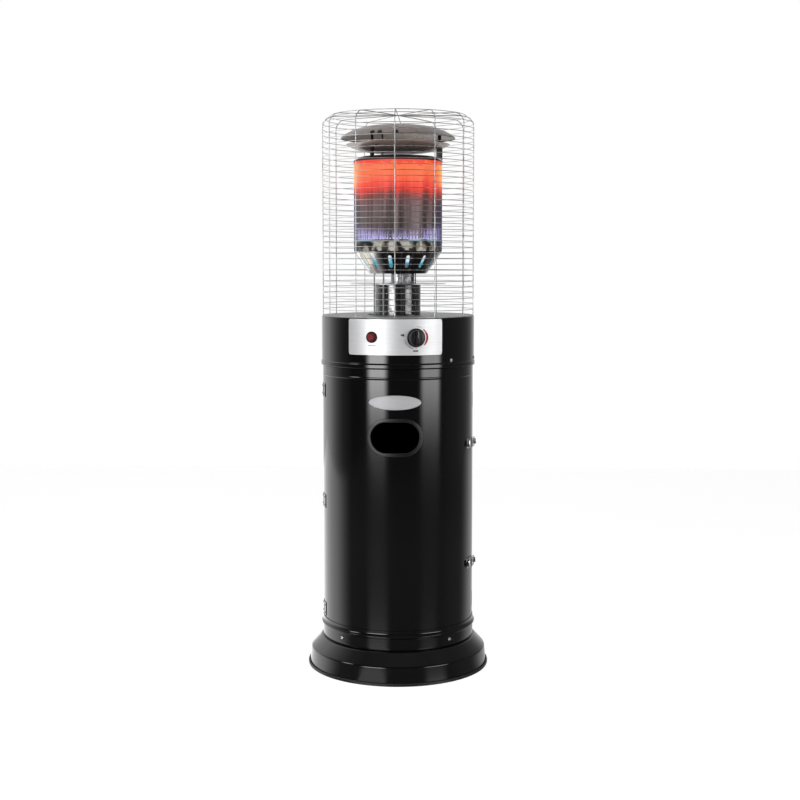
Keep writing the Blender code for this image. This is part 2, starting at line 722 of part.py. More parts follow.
def build_latch(place, height):
    """A toggle latch over the seam: plate with ears and pin, lever, bail, and the catch on the shell."""
    name = f"latch_{place}"
    frame = wall_frame(f"{name}_pivot", LATCH_PIVOT_RADIUS, LATCH_PIVOT_ANGLE, height)
    drop = LATCH_PIVOT_STAND
    left = LATCH_PIVOT_ANGLE - math.degrees(LATCH_LEVER_LENGTH / WALL_RADIUS)
    right = LATCH_ANGLE - math.degrees(0.0012 / WALL_RADIUS)
    plate = wrapped(
        f"{name}_plate", WALL_RADIUS + CLEAR, (left + right) / 2, height,
        math.radians(right - left) / 2 * WALL_RADIUS, lambda across: LATCH_PLATE_HEIGHT / 2, HINGE_LEAF, "zinc",
        columns=4,
    )
    inner_face = LATCH_LEVER_HEIGHT / 2 + CLEAR
    ear = [(-0.0025, -drop + HINGE_LEAF), *arc((0, 0), 0.0025, 180, 0, 6), (0.0025, -drop + HINGE_LEAF)]
    for side in (1, -1):
        ear_at = (0, 0, side * (inner_face + LATCH_EAR / 2))
        join(plate, outline(f"{name}_ear_{side}", ear, LATCH_EAR, parent=frame, at=ear_at))
    pin = cylinder(f"{name}_pin", LATCH_PIN_RADIUS, 2 * (inner_face + LATCH_EAR) - 0.0004, parent=frame)
    join(plate, pin)
    lever = outline(f"{name}_lever", lever_outline(), LATCH_LEVER_HEIGHT, "zinc", parent=frame)
    cut(lever, cylinder(f"{name}_lever_bore", LATCH_PIN_RADIUS + RUNNING, 0.05, parent=frame))
    hold = BAIL_RADIUS + 0.00015
    hole_depth = 0.004
    for side in (1, -1):
        hole_at = (BAIL_PIVOT, 0, side * (LATCH_LEVER_HEIGHT / 2 - hole_depth / 2 + 0.001))
        cut(lever, cylinder(f"{name}_bail_hole_{side}", hold, hole_depth + 0.002, parent=frame, at=hole_at))
    across = math.radians(BAIL_ANGLE - LATCH_PIVOT_ANGLE)
    bar = Vector((-BAIL_BAR_RADIUS * math.sin(across), BAIL_BAR_RADIUS * math.cos(across) - LATCH_PIVOT_RADIUS, 0))
    pivot = Vector((BAIL_PIVOT, 0, 0))
    run, bend = bar - pivot, 0.002
    step = run.normalized() * bend
    up = Vector((0, 0, 1))
    end = LATCH_LEVER_HEIGHT / 2 - hole_depth + CLEAR
    half = [
        pivot + up * end, pivot + up * (BAIL_ARM - bend), pivot + step * 0.3 + up * (BAIL_ARM - 0.3 * bend),
        pivot + step + up * BAIL_ARM, bar - step + up * BAIL_ARM,
        bar - step * 0.3 + up * (BAIL_ARM - 0.3 * bend), bar + up * (BAIL_ARM - bend),
    ]
    mirrored = [Vector((point.x, point.y, -point.z)) for point in reversed(half)]
    holder = wall_frame(f"{name}_bail_pivot", LATCH_PIVOT_RADIUS, LATCH_PIVOT_ANGLE, height)
    holder.location = holder.location + Matrix.Rotation(holder.rotation_euler.z, 3, "Z") @ pivot
    tube(f"{name}_bail", [point - pivot for point in half + mirrored], BAIL_RADIUS, "zinc", parent=holder)
    catch_frame = wall_frame(f"{name}_catch_frame", BAIL_BAR_RADIUS, BAIL_ANGLE, height)
    catch = wrapped(
        f"{name}_catch", WALL_RADIUS + CLEAR, BAIL_ANGLE, height, 0.0110, lambda across: CATCH_HEIGHT / 2,
        HINGE_LEAF, "zinc", columns=4,
    )
    foot, top = -BAIL_STAND + HINGE_LEAF / 2, CATCH_LIP - BAIL_STAND
    lip_at = (BAIL_RADIUS + CLEAR + CATCH_LIP_THICKNESS / 2, (foot + top) / 2, 0)
    lip_size = (CATCH_LIP_THICKNESS, top - foot, CATCH_HEIGHT - 0.001)
    join(catch, box(f"{name}_lip", lip_size, parent=catch_frame, at=lip_at))


def build_panel(upper_collar):
    """The curved control panel, with the knob, valve, igniter and tilt switch."""
    half_width = math.radians(PANEL_HALF_ANGLE) * COLLAR_RADIUS
    half_height = (PANEL_TOP - PANEL_BOTTOM) / 2

    def rounded(across):
        past = max(0.0, abs(across) * half_width - (half_width - PANEL_CORNER))
        return half_height - PANEL_CORNER + math.sqrt(max(0.0, PANEL_CORNER**2 - past**2))

    panel = wrapped(
        "control_panel", COLLAR_RADIUS + CLEAR, 0.0, (PANEL_TOP + PANEL_BOTTOM) / 2, half_width, rounded,
        PANEL_THICKNESS, "brushed_steel", columns=18,
    )
    build_valve(panel, upper_collar)
    build_igniter(panel, upper_collar)
    place = around(*TILT_SWITCH_PLACE, UPPER_COLLAR_TOP - TILT_SWITCH_SIZE[2] / 2)
    facing = (0, 0, math.radians(TILT_SWITCH_PLACE[1]))
    box("tilt_switch", TILT_SWITCH_SIZE, "black_plastic", at=place, turn=facing, bevel=0.002)


def build_valve(panel, upper_collar):
    """The gas valve behind the panel, its plunger and spindle, and the knob."""
    frame = wall_frame("knob_axis", COLLAR_RADIUS, KNOB_ANGLE, KNOB_HEIGHT)
    outward = (math.radians(-90), 0, 0)
    front = PANEL_FRONT - COLLAR_RADIUS
    back = front + KNOB_GAP
    top = back + KNOB_SKIRT + KNOB_BODY
    knob = turned(
        "control_knob",
        [
            (0.0, top), (KNOB_RADIUS * 0.80, top), (KNOB_RADIUS * 0.84, top - 0.0015),
            (KNOB_RADIUS * 0.88, back + KNOB_SKIRT), (KNOB_RADIUS, back + KNOB_SKIRT - 0.001), (KNOB_RADIUS, back),
            (0.0, back),
        ],
        "black_plastic", closed=False, sides=24, turn=outward, parent=frame,
    )
    width, rise = KNOB_RIDGE
    ridge = box(
        "knob_ridge", (width, rise + 0.002, KNOB_RADIUS * 1.58), parent=frame, at=(0, top + rise / 2 - 0.001, 0),
        bevel=0.001,
    )
    join(knob, ridge)
    reach = back + KNOB_SKIRT + KNOB_BODY
    inner_end = -0.0185
    sides = 16
    length = reach - inner_end
    middle = (0, (reach + inner_end) / 2, 0)
    cylinder("knob_spindle", SPINDLE_RADIUS, length, "zinc", axis="Y", parent=frame, at=middle, sides=sides)
    bore = cylinder(
        "knob_bore", SPINDLE_RADIUS + CLEAR, 2 * (KNOB_SKIRT + KNOB_BODY + CLEAR), axis="Y", parent=frame,
        at=(0, back, 0), sides=sides,
    )
    cut(knob, bore)
    valve_front = math.sqrt((COLLAR_RADIUS - SHEET) ** 2 - (VALVE_SIZE[0] / 2) ** 2) - CLEAR - COLLAR_RADIUS - 0.0004
    plunger_front = valve_front - 0.0018
    plunger = cylinder(
        "valve_plunger", PLUNGER_RADIUS, PLUNGER_LENGTH, "brass", axis="Y", parent=frame,
        at=(0, plunger_front - PLUNGER_LENGTH / 2, 0), sides=sides,
    )
    through = cylinder(
        "plunger_bore", SPINDLE_RADIUS + CLEAR, 0.05, axis="Y", parent=frame, at=(0, -0.01, 0), sides=sides
    )
    cut(plunger, through)
    valve_middle = (0, valve_front - VALVE_SIZE[1] / 2, 0)
    valve = box("gas_valve", VALVE_SIZE, "aluminium", parent=frame, at=valve_middle, bevel=0.002)
    spigot = turned(
        "valve_spigot",
        [
            (0.0, 0.004), (0.008, 0.004), (0.008, -0.006), (SPIGOT_RADIUS, -0.006), (SPIGOT_RADIUS, -0.012),
            (SPIGOT_RADIUS + 0.0008, -0.014), (SPIGOT_RADIUS, -0.018), (SPIGOT_RADIUS + 0.0008, -0.020),
            (SPIGOT_RADIUS, -SPIGOT_LENGTH), (0.0, -SPIGOT_LENGTH),
        ],
        closed=False, sides=SMALL_SIDES, parent=frame, at=(0, valve_front - VALVE_SIZE[1] / 2, -VALVE_SIZE[2] / 2),
    )
    join(valve, spigot)
    valve_bore = cylinder(
        "valve_bore", VALVE_BORE, 2 * VALVE_BORE_DEPTH, axis="Y", parent=frame, at=(0, valve_front, 0), sides=sides
    )
    cut(valve, valve_bore)
    hole = cylinder("spindle_hole", SPINDLE_RADIUS + 0.0015, 0.01, axis="Y", parent=frame)
    cut(panel, hole)
    cut(upper_collar, hole)


def build_igniter(panel, upper_collar):
    """The piezo igniter's body with its flange on the panel, and its push button."""
    frame = wall_frame("igniter_axis", COLLAR_RADIUS, IGNITER_ANGLE, IGNITER_HEIGHT)
    outward = (math.radians(-90), 0, 0)
    seat = PANEL_FRONT - COLLAR_RADIUS + CLEAR
    face = seat + IGNITER_FLANGE
    turned(
        "igniter_body",
        [
            (IGNITER_FLANGE_RADIUS - 0.001, face), (IGNITER_FLANGE_RADIUS, face - 0.001),
            (IGNITER_FLANGE_RADIUS, seat),
            (IGNITER_RADIUS, seat), (IGNITER_RADIUS, -IGNITER_LENGTH), (0.0, -IGNITER_LENGTH),
            (0.0, 0.002 - IGNITER_LENGTH), (IGNITER_BORE, 0.002 - IGNITER_LENGTH), (IGNITER_BORE, face),
        ],
        "black_plastic", sides=20, turn=outward, parent=frame,
    )
    tip = face + BUTTON_PROUD
    turned(
        "igniter_button",
        [
            (0.0, tip), (BUTTON_RADIUS * 0.6, tip - 0.0005), (BUTTON_RADIUS, tip - 0.0025),
            (BUTTON_RADIUS, tip - BUTTON_LENGTH), (0.0, tip - BUTTON_LENGTH),
        ],
        "button_red", closed=False, sides=20, turn=outward, parent=frame,
    )
    hole = cylinder("igniter_hole", IGNITER_RADIUS + CLEAR, 0.012, axis="Y", parent=frame, sides=20)
    cut(panel, hole)
    cut(upper_collar, hole)


def lead_holes(name, radius):
    """Cutters for the three leads that rise beside the burner."""
    return [
        cylinder(f"{name}_hole_{key}", wire + 0.0006, 0.006, at=around(LEAD_RADIUS, angle, radius), sides=8)
        for key, angle, wire in (
            ("pilot", PILOT_ANGLE, PILOT_TUBE_RADIUS),
            ("thermocouple", THERMOCOUPLE_ANGLE, THERMOCOUPLE_RADIUS),
            ("electrode", ELECTRODE_ANGLE, ELECTRODE_RADIUS),
        )
    ]


def radial_turn(angle):
    """Rotation that stands an outline of (radius, height) points up at this angle."""
    return (math.radians(90), 0, math.radians(angle - 90))


def build_deck():
    """The plate on the collar, and the shroud, legs and baffle that stand on it."""
    underside = UPPER_COLLAR_TOP + CLEAR
    deck = turned(
        "deck_plate",
        [(DECK_RADIUS, DECK_TOP), (DECK_RADIUS, underside), (DECK_HOLE, underside), (DECK_HOLE, DECK_TOP)],
        "deck_grey",
    )
    cut(deck, *lead_holes("deck", DECK_TOP))
    turned(
        "air_shroud",
        [
            (SHROUD_RADIUS, BAFFLE_UNDERSIDE - CLEAR), (SHROUD_RADIUS, DECK_TOP + CLEAR),
            (SHROUD_RADIUS - SHROUD_WALL, DECK_TOP + CLEAR), (SHROUD_RADIUS - SHROUD_WALL, BAFFLE_UNDERSIDE - CLEAR),
        ],
        "dark_steel", sides=32,
    )
    baffle = turned(
        "heat_baffle",
        [
            (BAFFLE_RADIUS, BAFFLE_TOP), (BAFFLE_RADIUS, BAFFLE_UNDERSIDE), (MIXER_RADIUS + CLEAR, BAFFLE_UNDERSIDE),
            (MIXER_RADIUS + CLEAR, BAFFLE_TOP),
        ],
        "polished_steel",
    )
    cut(baffle, *lead_holes("baffle", BAFFLE_TOP))
    foot, top = DECK_TOP + CLEAR, CONE_BOTTOM - CLEAR
    inner, outer = LEG_RADIUS, LEG_RADIUS + LEG_THICKNESS
    lug = BAFFLE_UNDERSIDE - CLEAR
    leg = [
        (inner, foot), (outer + LEG_FOOT, foot), (outer + LEG_FOOT, foot + LEG_THICKNESS), (outer, foot + LEG_THICKNESS),
        (outer, lug - LEG_LUG), (outer + LEG_LUG, lug), (outer, lug), (outer, top), (inner - 0.003, top),
        (inner - 0.003, top - LEG_THICKNESS), (inner, top - LEG_THICKNESS),
    ]
    slot = (LEG_THICKNESS + 0.0008, 0.006, LEG_WIDTH + 0.0008)
    for place, angle in LEG_ANGLES.items():
        outline(f"burner_leg_{place}", leg, LEG_WIDTH, "aluminium", turn=radial_turn(angle))
        slot_at = around((inner + outer) / 2, angle, BAFFLE_TOP)
        cut(baffle, box(f"leg_slot_{place}", slot, at=slot_at, turn=radial_turn(angle)))


def build_supply():
    """Jet, mixing tube and burner head on the axis, with the tube and leads that feed them."""
    turned(
        "burner_jet",
        [
            (0.0, JET_TOP), (0.003, JET_TOP), (JET_RADIUS * 0.6, JET_TOP - 0.008), (JET_RADIUS, JET_TOP - 0.010),
            (JET_RADIUS, JET_BOTTOM), (0.0, JET_BOTTOM),
        ],
        "brass", closed=False, sides=SMALL_SIDES,
    )
    inner = MIXER_RADIUS - MIXER_WALL
    top = HEAD_BOTTOM - CLEAR
    turned(
        "mixing_tube",
        [
            (MIXER_RADIUS, top), (MIXER_RADIUS, BAFFLE_TOP + CLEAR + MIXER_WALL),
            (MIXER_FLANGE, BAFFLE_TOP + CLEAR + MIXER_WALL), (MIXER_FLANGE, BAFFLE_TOP + CLEAR),
            (MIXER_RADIUS, BAFFLE_TOP + CLEAR), (MIXER_RADIUS, MIXER_BOTTOM),
            (inner, MIXER_BOTTOM), (inner, top),
        ],
        "aluminium", sides=24,
    )
    turned(
        "burner_head",
        [
            (0.0, HEAD_BOTTOM + HEAD_HEIGHT), (HEAD_RADIUS * 0.92, HEAD_BOTTOM + HEAD_HEIGHT),
            (HEAD_RADIUS, HEAD_BOTTOM + HEAD_HEIGHT * 0.7), (HEAD_RADIUS * 0.9, HEAD_BOTTOM + 0.004),
            (MIXER_RADIUS * 1.3, HEAD_BOTTOM), (inner, HEAD_BOTTOM), (inner, HEAD_BOTTOM + 0.006),
            (0.0, HEAD_BOTTOM + 0.006),
        ],
        "dark_steel", closed=False, sides=32,
    )
    inside = math.sqrt((COLLAR_RADIUS - SHEET) ** 2 - (VALVE_SIZE[0] / 2) ** 2)
    valve_back = inside - CLEAR - 0.0004 - VALVE_SIZE[1] - CLEAR
    main = [
        (valve_back, KNOB_HEIGHT), (valve_back - 0.03, KNOB_HEIGHT), (0.06, KNOB_HEIGHT),
        (0.018, KNOB_HEIGHT + 0.001), (0.004, KNOB_HEIGHT + 0.008), (0.0, KNOB_HEIGHT + 0.018),
        (0.0, JET_BOTTOM - CLEAR),
    ]
    route = smooth_route([around(radius, KNOB_ANGLE, height) for radius, height in main], 2)
    tube("main_gas_tube", route, MAIN_TUBE_RADIUS, "copper")
    valve_top = KNOB_HEIGHT + VALVE_SIZE[2] / 2 + CLEAR
    under = UPPER_COLLAR_TOP - 0.012
    pilot_outlet = COLLAR_RADIUS - PILOT_OUTLET_INSET
    thermocouple_outlet = COLLAR_RADIUS - THERMOCOUPLE_OUTLET_INSET
    lead(
        "pilot_gas_tube", PILOT_TUBE_RADIUS, "aluminium", PILOT_ANGLE, PILOT_TOP - CLEAR,
        [
            (pilot_outlet, 12.0, valve_top), (pilot_outlet - 0.002, 11.5, under - 0.008),
            (pilot_outlet - OUTLET_BEND, 4.0, under - 0.004), (LEAD_RADIUS + 0.0395, -16.0, under - 0.004),
            (LEAD_RADIUS + 0.0135, -27.0, under - 0.003),
        ],
    )
    lead(
        "thermocouple", THERMOCOUPLE_RADIUS, "copper", THERMOCOUPLE_ANGLE, THERMOCOUPLE_TOP,
        [
            (thermocouple_outlet, 18.0, valve_top), (thermocouple_outlet - 0.002, 18.5, under - 0.008),
            (thermocouple_outlet - OUTLET_BEND, 24.0, under - 0.004), (LEAD_RADIUS + 0.0295, 38.0, under - 0.004),
            (LEAD_RADIUS + 0.0115, 43.0, under - 0.003),
        ],
    )
    lead(
        "ignition_electrode", ELECTRODE_RADIUS, "dark_steel", ELECTRODE_ANGLE, ELECTRODE_TOP,
        [
            (COLLAR_RADIUS - IGNITER_LENGTH - CLEAR, IGNITER_ANGLE, IGNITER_HEIGHT),
            (thermocouple_outlet - OUTLET_BEND, -16.0, IGNITER_HEIGHT),
            (LEAD_RADIUS + 0.0395, -9.0, IGNITER_HEIGHT + 0.006), (LEAD_RADIUS + 0.0135, 2.0, IGNITER_HEIGHT + 0.018),
        ],
    )
    place = around(LEAD_RADIUS, PILOT_ANGLE, PILOT_TOP + 0.009)
    cylinder("pilot_burner", 0.0045, 0.018, "brass", at=place, tip=0.0032)


def lead(name, radius, finish, angle, top, start):
    """A lead from its start under the deck to its place beside the burner, then straight up."""
    rise = [(LEAD_RADIUS, angle, UPPER_COLLAR_TOP + up) for up in (-0.006, -0.001, 0.010)]
    points = smooth_route([around(*point) for point in (*start, *rise)], 2)
    tube(name, [*points, around(LEAD_RADIUS, angle, top)], radius, finish)


def build_cone():
    """The slotted cone under the emitter, on the legs."""
    band = EMITTER_RADIUS - EMITTER_WALL - CLEAR
    slope = (CONE_TOP - CONE_BOTTOM) / (EMITTER_RADIUS - CONE_BOTTOM_RADIUS)
    inner_band = band - CONE_WALL
    inner_foot = CONE_BOTTOM_RADIUS - CONE_WALL * 0.6
    cone = turned(
        "burner_cone",
        [
            (band, CONE_BAND_TOP), (band, CONE_TOP), (EMITTER_RADIUS, CONE_TOP - 0.0012), (CONE_BOTTOM_RADIUS, CONE_BOTTOM),
            (CONE_FLANGE_RADIUS, CONE_BOTTOM), (CONE_FLANGE_RADIUS, CONE_BOTTOM + CONE_WALL),
            (inner_foot, CONE_BOTTOM + CONE_WALL),
            (inner_band, CONE_BOTTOM + CONE_WALL + (inner_band - inner_foot) * slope),
            (inner_band, CONE_BAND_TOP),
        ],
        "polished_steel",
    )
    middle = (CONE_BOTTOM + CONE_TOP) / 2 + 0.002
    reach = (EMITTER_RADIUS + CONE_BOTTOM_RADIUS) / 2
    places = [(360 * (step + 0.5) / CONE_SLOTS, middle) for step in range(CONE_SLOTS)]
    slots = joined_boxes("cone_slots", places, reach, (CONE_SLOT[0], 0.03, CONE_SLOT[1]))
    cut(cone, slots, *lead_holes("cone", CONE_BOTTOM))


def reflector_profile(radius, rim, middle, stations=REFLECTOR_STATIONS):
    """A shallow bowl's surface as (radius, height) points from the axis to the rim."""
    return [(r, middle + (rim - middle) * (r / radius) ** 2) for r in (*stations, radius)]


def build_emitter():
    """The emitter screen, its lid, the straps on the lid and the two reflectors they carry."""
    inner = EMITTER_RADIUS - EMITTER_WALL
    foot = CONE_TOP + CLEAR
    turned(
        "emitter_screen",
        [(EMITTER_RADIUS, EMITTER_TOP), (EMITTER_RADIUS, foot), (inner, foot), (inner, EMITTER_TOP)], "glowing_steel",
    )
    seat = EMITTER_TOP + CLEAR
    flange_top = seat + LID_FLANGE
    turned(
        "emitter_lid",
        [
            (0.0, LID_TOP), (LID_CROWN_RADIUS, LID_TOP), (LID_RADIUS, flange_top), (LID_RADIUS, seat),
            (LID_CROWN_RADIUS + 0.008, seat), (LID_CROWN_RADIUS - 0.001, LID_TOP - SHEET), (0.0, LID_TOP - SHEET),
        ],
        "dark_steel", closed=False,
    )
    lid = [(LID_CROWN_RADIUS, LID_TOP), (LID_RADIUS, flange_top)]
    dish_under = reflector_profile(DISH_RADIUS, DISH_RIM, DISH_LOW)
    dish_over = [(r, z + REFLECTOR_WALL) for r, z in dish_under]
    dish = turned("lower_reflector", [*dish_over, *reversed(dish_under)], "heat_steel", closed=False)
    dome_over = reflector_profile(DOME_RADIUS, DOME_RIM, DOME_APEX)
    lip = [(DOME_RADIUS, DOME_RIM - DOME_LIP), (DOME_RADIUS - REFLECTOR_WALL, DOME_RIM - DOME_LIP)]
    dome_under = [(min(r, DOME_RADIUS - REFLECTOR_WALL), z - REFLECTOR_WALL) for r, z in dome_over]
    turned("upper_reflector", [*dome_over, *lip, *reversed(dome_under)], "heat_steel", closed=False)
    near, far = STRAP_INNER + STRAP_SHOULDER, STRAP_OUTER - STRAP_SHOULDER
    strap = [
        (STRAP_INNER, on_profile(lid, STRAP_INNER) + CLEAR), (STRAP_OUTER, on_profile(lid, STRAP_OUTER) + CLEAR),
        (STRAP_OUTER, on_profile(dish_under, STRAP_OUTER) - CLEAR), (far, on_profile(dish_under, far) - CLEAR),
        (far, on_profile(dome_under, far) - CLEAR), (near, on_profile(dome_under, near) - CLEAR),
        (near, on_profile(dish_under, near) - CLEAR), (STRAP_INNER, on_profile(dish_under, STRAP_INNER) - CLEAR),
    ]
    for place, angle in STRAP_ANGLES.items():
        outline(f"reflector_strap_{place}", strap, STRAP_THICKNESS, "dark_steel", turn=radial_turn(angle))
        slot_at = around((near + far) / 2, angle, (DISH_RIM + DISH_LOW) / 2)
        slot_size = (far - near + 0.0008, 0.04, STRAP_THICKNESS + 0.0008)
        cut(dish, box(f"strap_slot_{place}", slot_size, at=slot_at, turn=radial_turn(angle)))


def side_points(path, width):
    """Both edges of a strip of this width along a path of (radius, height) points."""
    path = [Vector(point) for point in path]
    edges = []
    for before, here, after in zip([path[0], *path], path, [*path[1:], path[-1]]):
        along = ((here - before).normalized() + (after - here).normalized()).normalized()
        across = Vector((along.y, -along.x)) * width / 2
        edges.append((here + across, here - across))
    return edges


def bridge(shape, first, second):
    """Quads between two equal loops of points."""
    for k in range(len(first)):
        shape.faces.new((first[k - 1], first[k], second[k], second[k - 1]))


def build_guard():
    """The wire guard in square wire: each upright's corners are shared with the rings that cross it."""
    half = GUARD_WIRE / 2
    foot = DECK_TOP + CLEAR
    rings = [GUARD_FIRST_RING + GUARD_PITCH * ring for ring in range(GUARD_RINGS)]
    levels = [foot]
    for height in rings:
        levels += [height - half, height + half]
    path = [(GUARD_RADIUS, height) for height in levels]
    path += [(GUARD_RADIUS - inset, GUARD_TOP - drop) for inset, drop in GUARD_CROWN]
    hub = (GUARD_HUB_RADIUS, GUARD_TOP - half)
    edges = side_points([*path, hub], GUARD_WIRE)[:-1]
    edges.append((Vector(hub) + Vector((0, half)), Vector(hub) - Vector((0, half))))
    shape = bmesh.new()
    uprights = []
    for turn in range(GUARD_UPRIGHTS):
        spin = Matrix.Rotation(math.radians(360 * turn / GUARD_UPRIGHTS), 3, "Z")
        loops = []
        for outer, inner in edges:
            corners = [(outer, -1), (outer, 1), (inner, 1), (inner, -1)]
            loops.append([
                shape.verts.new(spin @ Vector((side * half, -point.x, point.y))) for point, side in corners
            ])
        uprights.append(loops)
        shape.faces.new(loops[0])
    for turn, loops in enumerate(uprights):
        following = uprights[(turn + 1) % GUARD_UPRIGHTS]
        middle = 360 * (turn + 0.5) / GUARD_UPRIGHTS
        for level, (low, high) in enumerate(zip(loops, loops[1:])):
            if level % 2 == 0 or level >= len(levels) - 1:
                bridge(shape, low, high)
                continue
            shape.faces.new((low[0], low[1], high[1], high[0]))
            shape.faces.new((low[2], low[3], high[3], high[2]))
            here = [low[1], high[1], high[2], low[2]]
            there = [following[level][0], following[level + 1][0], following[level + 1][3], following[level][3]]
            bent = [
                shape.verts.new(
                    around((first.co.xy.length + second.co.xy.length) / 2, middle, first.co.z)
                )
                for first, second in zip(here, there)
            ]
            bridge(shape, here, bent)
            bridge(shape, bent, there)
        last, following = loops[-1], following[-1]
        shape.faces.new((last[1], last[2], following[3], following[0]))
    shape.faces.new([corner for loops in uprights for corner in loops[-1][:2]])
    shape.faces.new([corner for loops in uprights for corner in (loops[-1][3], loops[-1][2])])
    bmesh.ops.recalc_face_normals(shape, faces=shape.faces)
    add("wire_guard", mesh_from("wire_guard", shape), "wire")


def main():
    build_base()
    upper_collar, upper_holes = build_collars()
    build_walls(upper_holes)
    build_window()
    build_hinges()
    for place, height in LATCH_HEIGHTS.items():
        build_latch(place, height)
    build_panel(upper_collar)
    build_deck()
    build_supply()
    build_cone()
    build_emitter()
    build_guard()


main()
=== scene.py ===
"""Looks of the gas patio heater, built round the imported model.

Metres, +Z up, the front faces -Y. Angles round the body are in degrees from the front, positive towards +X.
"""

import logging
import math
from collections.abc import Callable, Iterable, Sequence
from dataclasses import dataclass
from enum import Enum

import bmesh
import bpy
from mathutils import Matrix, Vector


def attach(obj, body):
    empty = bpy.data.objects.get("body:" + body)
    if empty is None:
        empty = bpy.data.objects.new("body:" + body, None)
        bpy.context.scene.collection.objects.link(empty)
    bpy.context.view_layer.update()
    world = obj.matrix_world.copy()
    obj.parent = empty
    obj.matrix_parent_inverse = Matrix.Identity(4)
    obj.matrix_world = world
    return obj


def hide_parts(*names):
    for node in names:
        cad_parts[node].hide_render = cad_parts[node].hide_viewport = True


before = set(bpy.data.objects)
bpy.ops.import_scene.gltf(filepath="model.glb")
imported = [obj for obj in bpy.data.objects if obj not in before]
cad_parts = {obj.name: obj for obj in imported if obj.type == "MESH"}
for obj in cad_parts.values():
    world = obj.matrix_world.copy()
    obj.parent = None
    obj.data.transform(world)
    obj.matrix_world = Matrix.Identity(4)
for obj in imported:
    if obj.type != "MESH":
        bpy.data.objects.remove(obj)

log = logging.getLogger("patio_heater")

Profile = list[tuple[float, float]]
Colour = tuple[float, float, float]
Shape = bmesh.types.BMesh

CLEAR = 0.0003
SHEET = 0.0012
SEGMENTS = 160
EDGE = 0.0002


# Shader maths


class Signal:
    """A shader socket that takes part in sums."""

    def __init__(self, shade: "Shade", socket: bpy.types.NodeSocket) -> None:
        """Wrap a socket of this shade's node tree."""
        self.shade = shade
        self.socket = socket

    def beside(self, outlet: int | str) -> "Signal":
        """Another output of the same node."""
        return Signal(self.shade, self.socket.node.outputs[outlet])

    def math(self, operation: str, *others: "Signal | float") -> "Signal":
        """Run a Math node on this signal and further inputs."""
        return self.shade.node("ShaderNodeMath", {"operation": operation}, dict(enumerate((self, *others))))

    def __add__(self, other: "Signal | float") -> "Signal":
        """Sum."""
        return self.math("ADD", other)

    __radd__ = __add__

    def __sub__(self, other: "Signal | float") -> "Signal":
        """Difference."""
        return self.math("SUBTRACT", other)

    def __rsub__(self, other: float) -> "Signal":
        """Difference, taken from a number."""
        return self * -1.0 + other

    def __mul__(self, other: "Signal | float") -> "Signal":
        """Product."""
        return self.math("MULTIPLY", other)

    __rmul__ = __mul__

    def __truediv__(self, other: "Signal | float") -> "Signal":
        """Quotient."""
        return self.math("DIVIDE", other)

    def __pow__(self, power: float) -> "Signal":
        """Power."""
        return self.math("POWER", power)

    def fade(self, low: float, high: float) -> "Signal":
        """Smooth step.

        Args:
            low: where it is 0, which may be the greater of the two.
            high: where it is 1.

        Returns:
            The step, held at 0 and 1 beyond them.
        """
        if low > high:
            return 1.0 - self.fade(high, low)
        settings = {"interpolation_type": "SMOOTHSTEP", "clamp": True}
        return self.shade.node("ShaderNodeMapRange", settings, {0: self, 1: low, 2: high, 3: 0.0, 4: 1.0})

    def between(self, low: float, high: float, soft: float) -> "Signal":
        """A soft-edged band that is 1 from low to high."""
        return self.fade(low - soft, low + soft) * (1.0 - self.fade(high - soft, high + soft))

    def wave(self, period: float, phase: float = 0.0) -> "Signal":
        """A sine of this period, between 0 and 1."""
        return (self * (2 * math.pi / period) + phase).math("SINE") * 0.5 + 0.5

    def within(self, low: float, high: float) -> "Signal":
        """This signal, held between two numbers."""
        return self.math("MAXIMUM", low).math("MINIMUM", high)


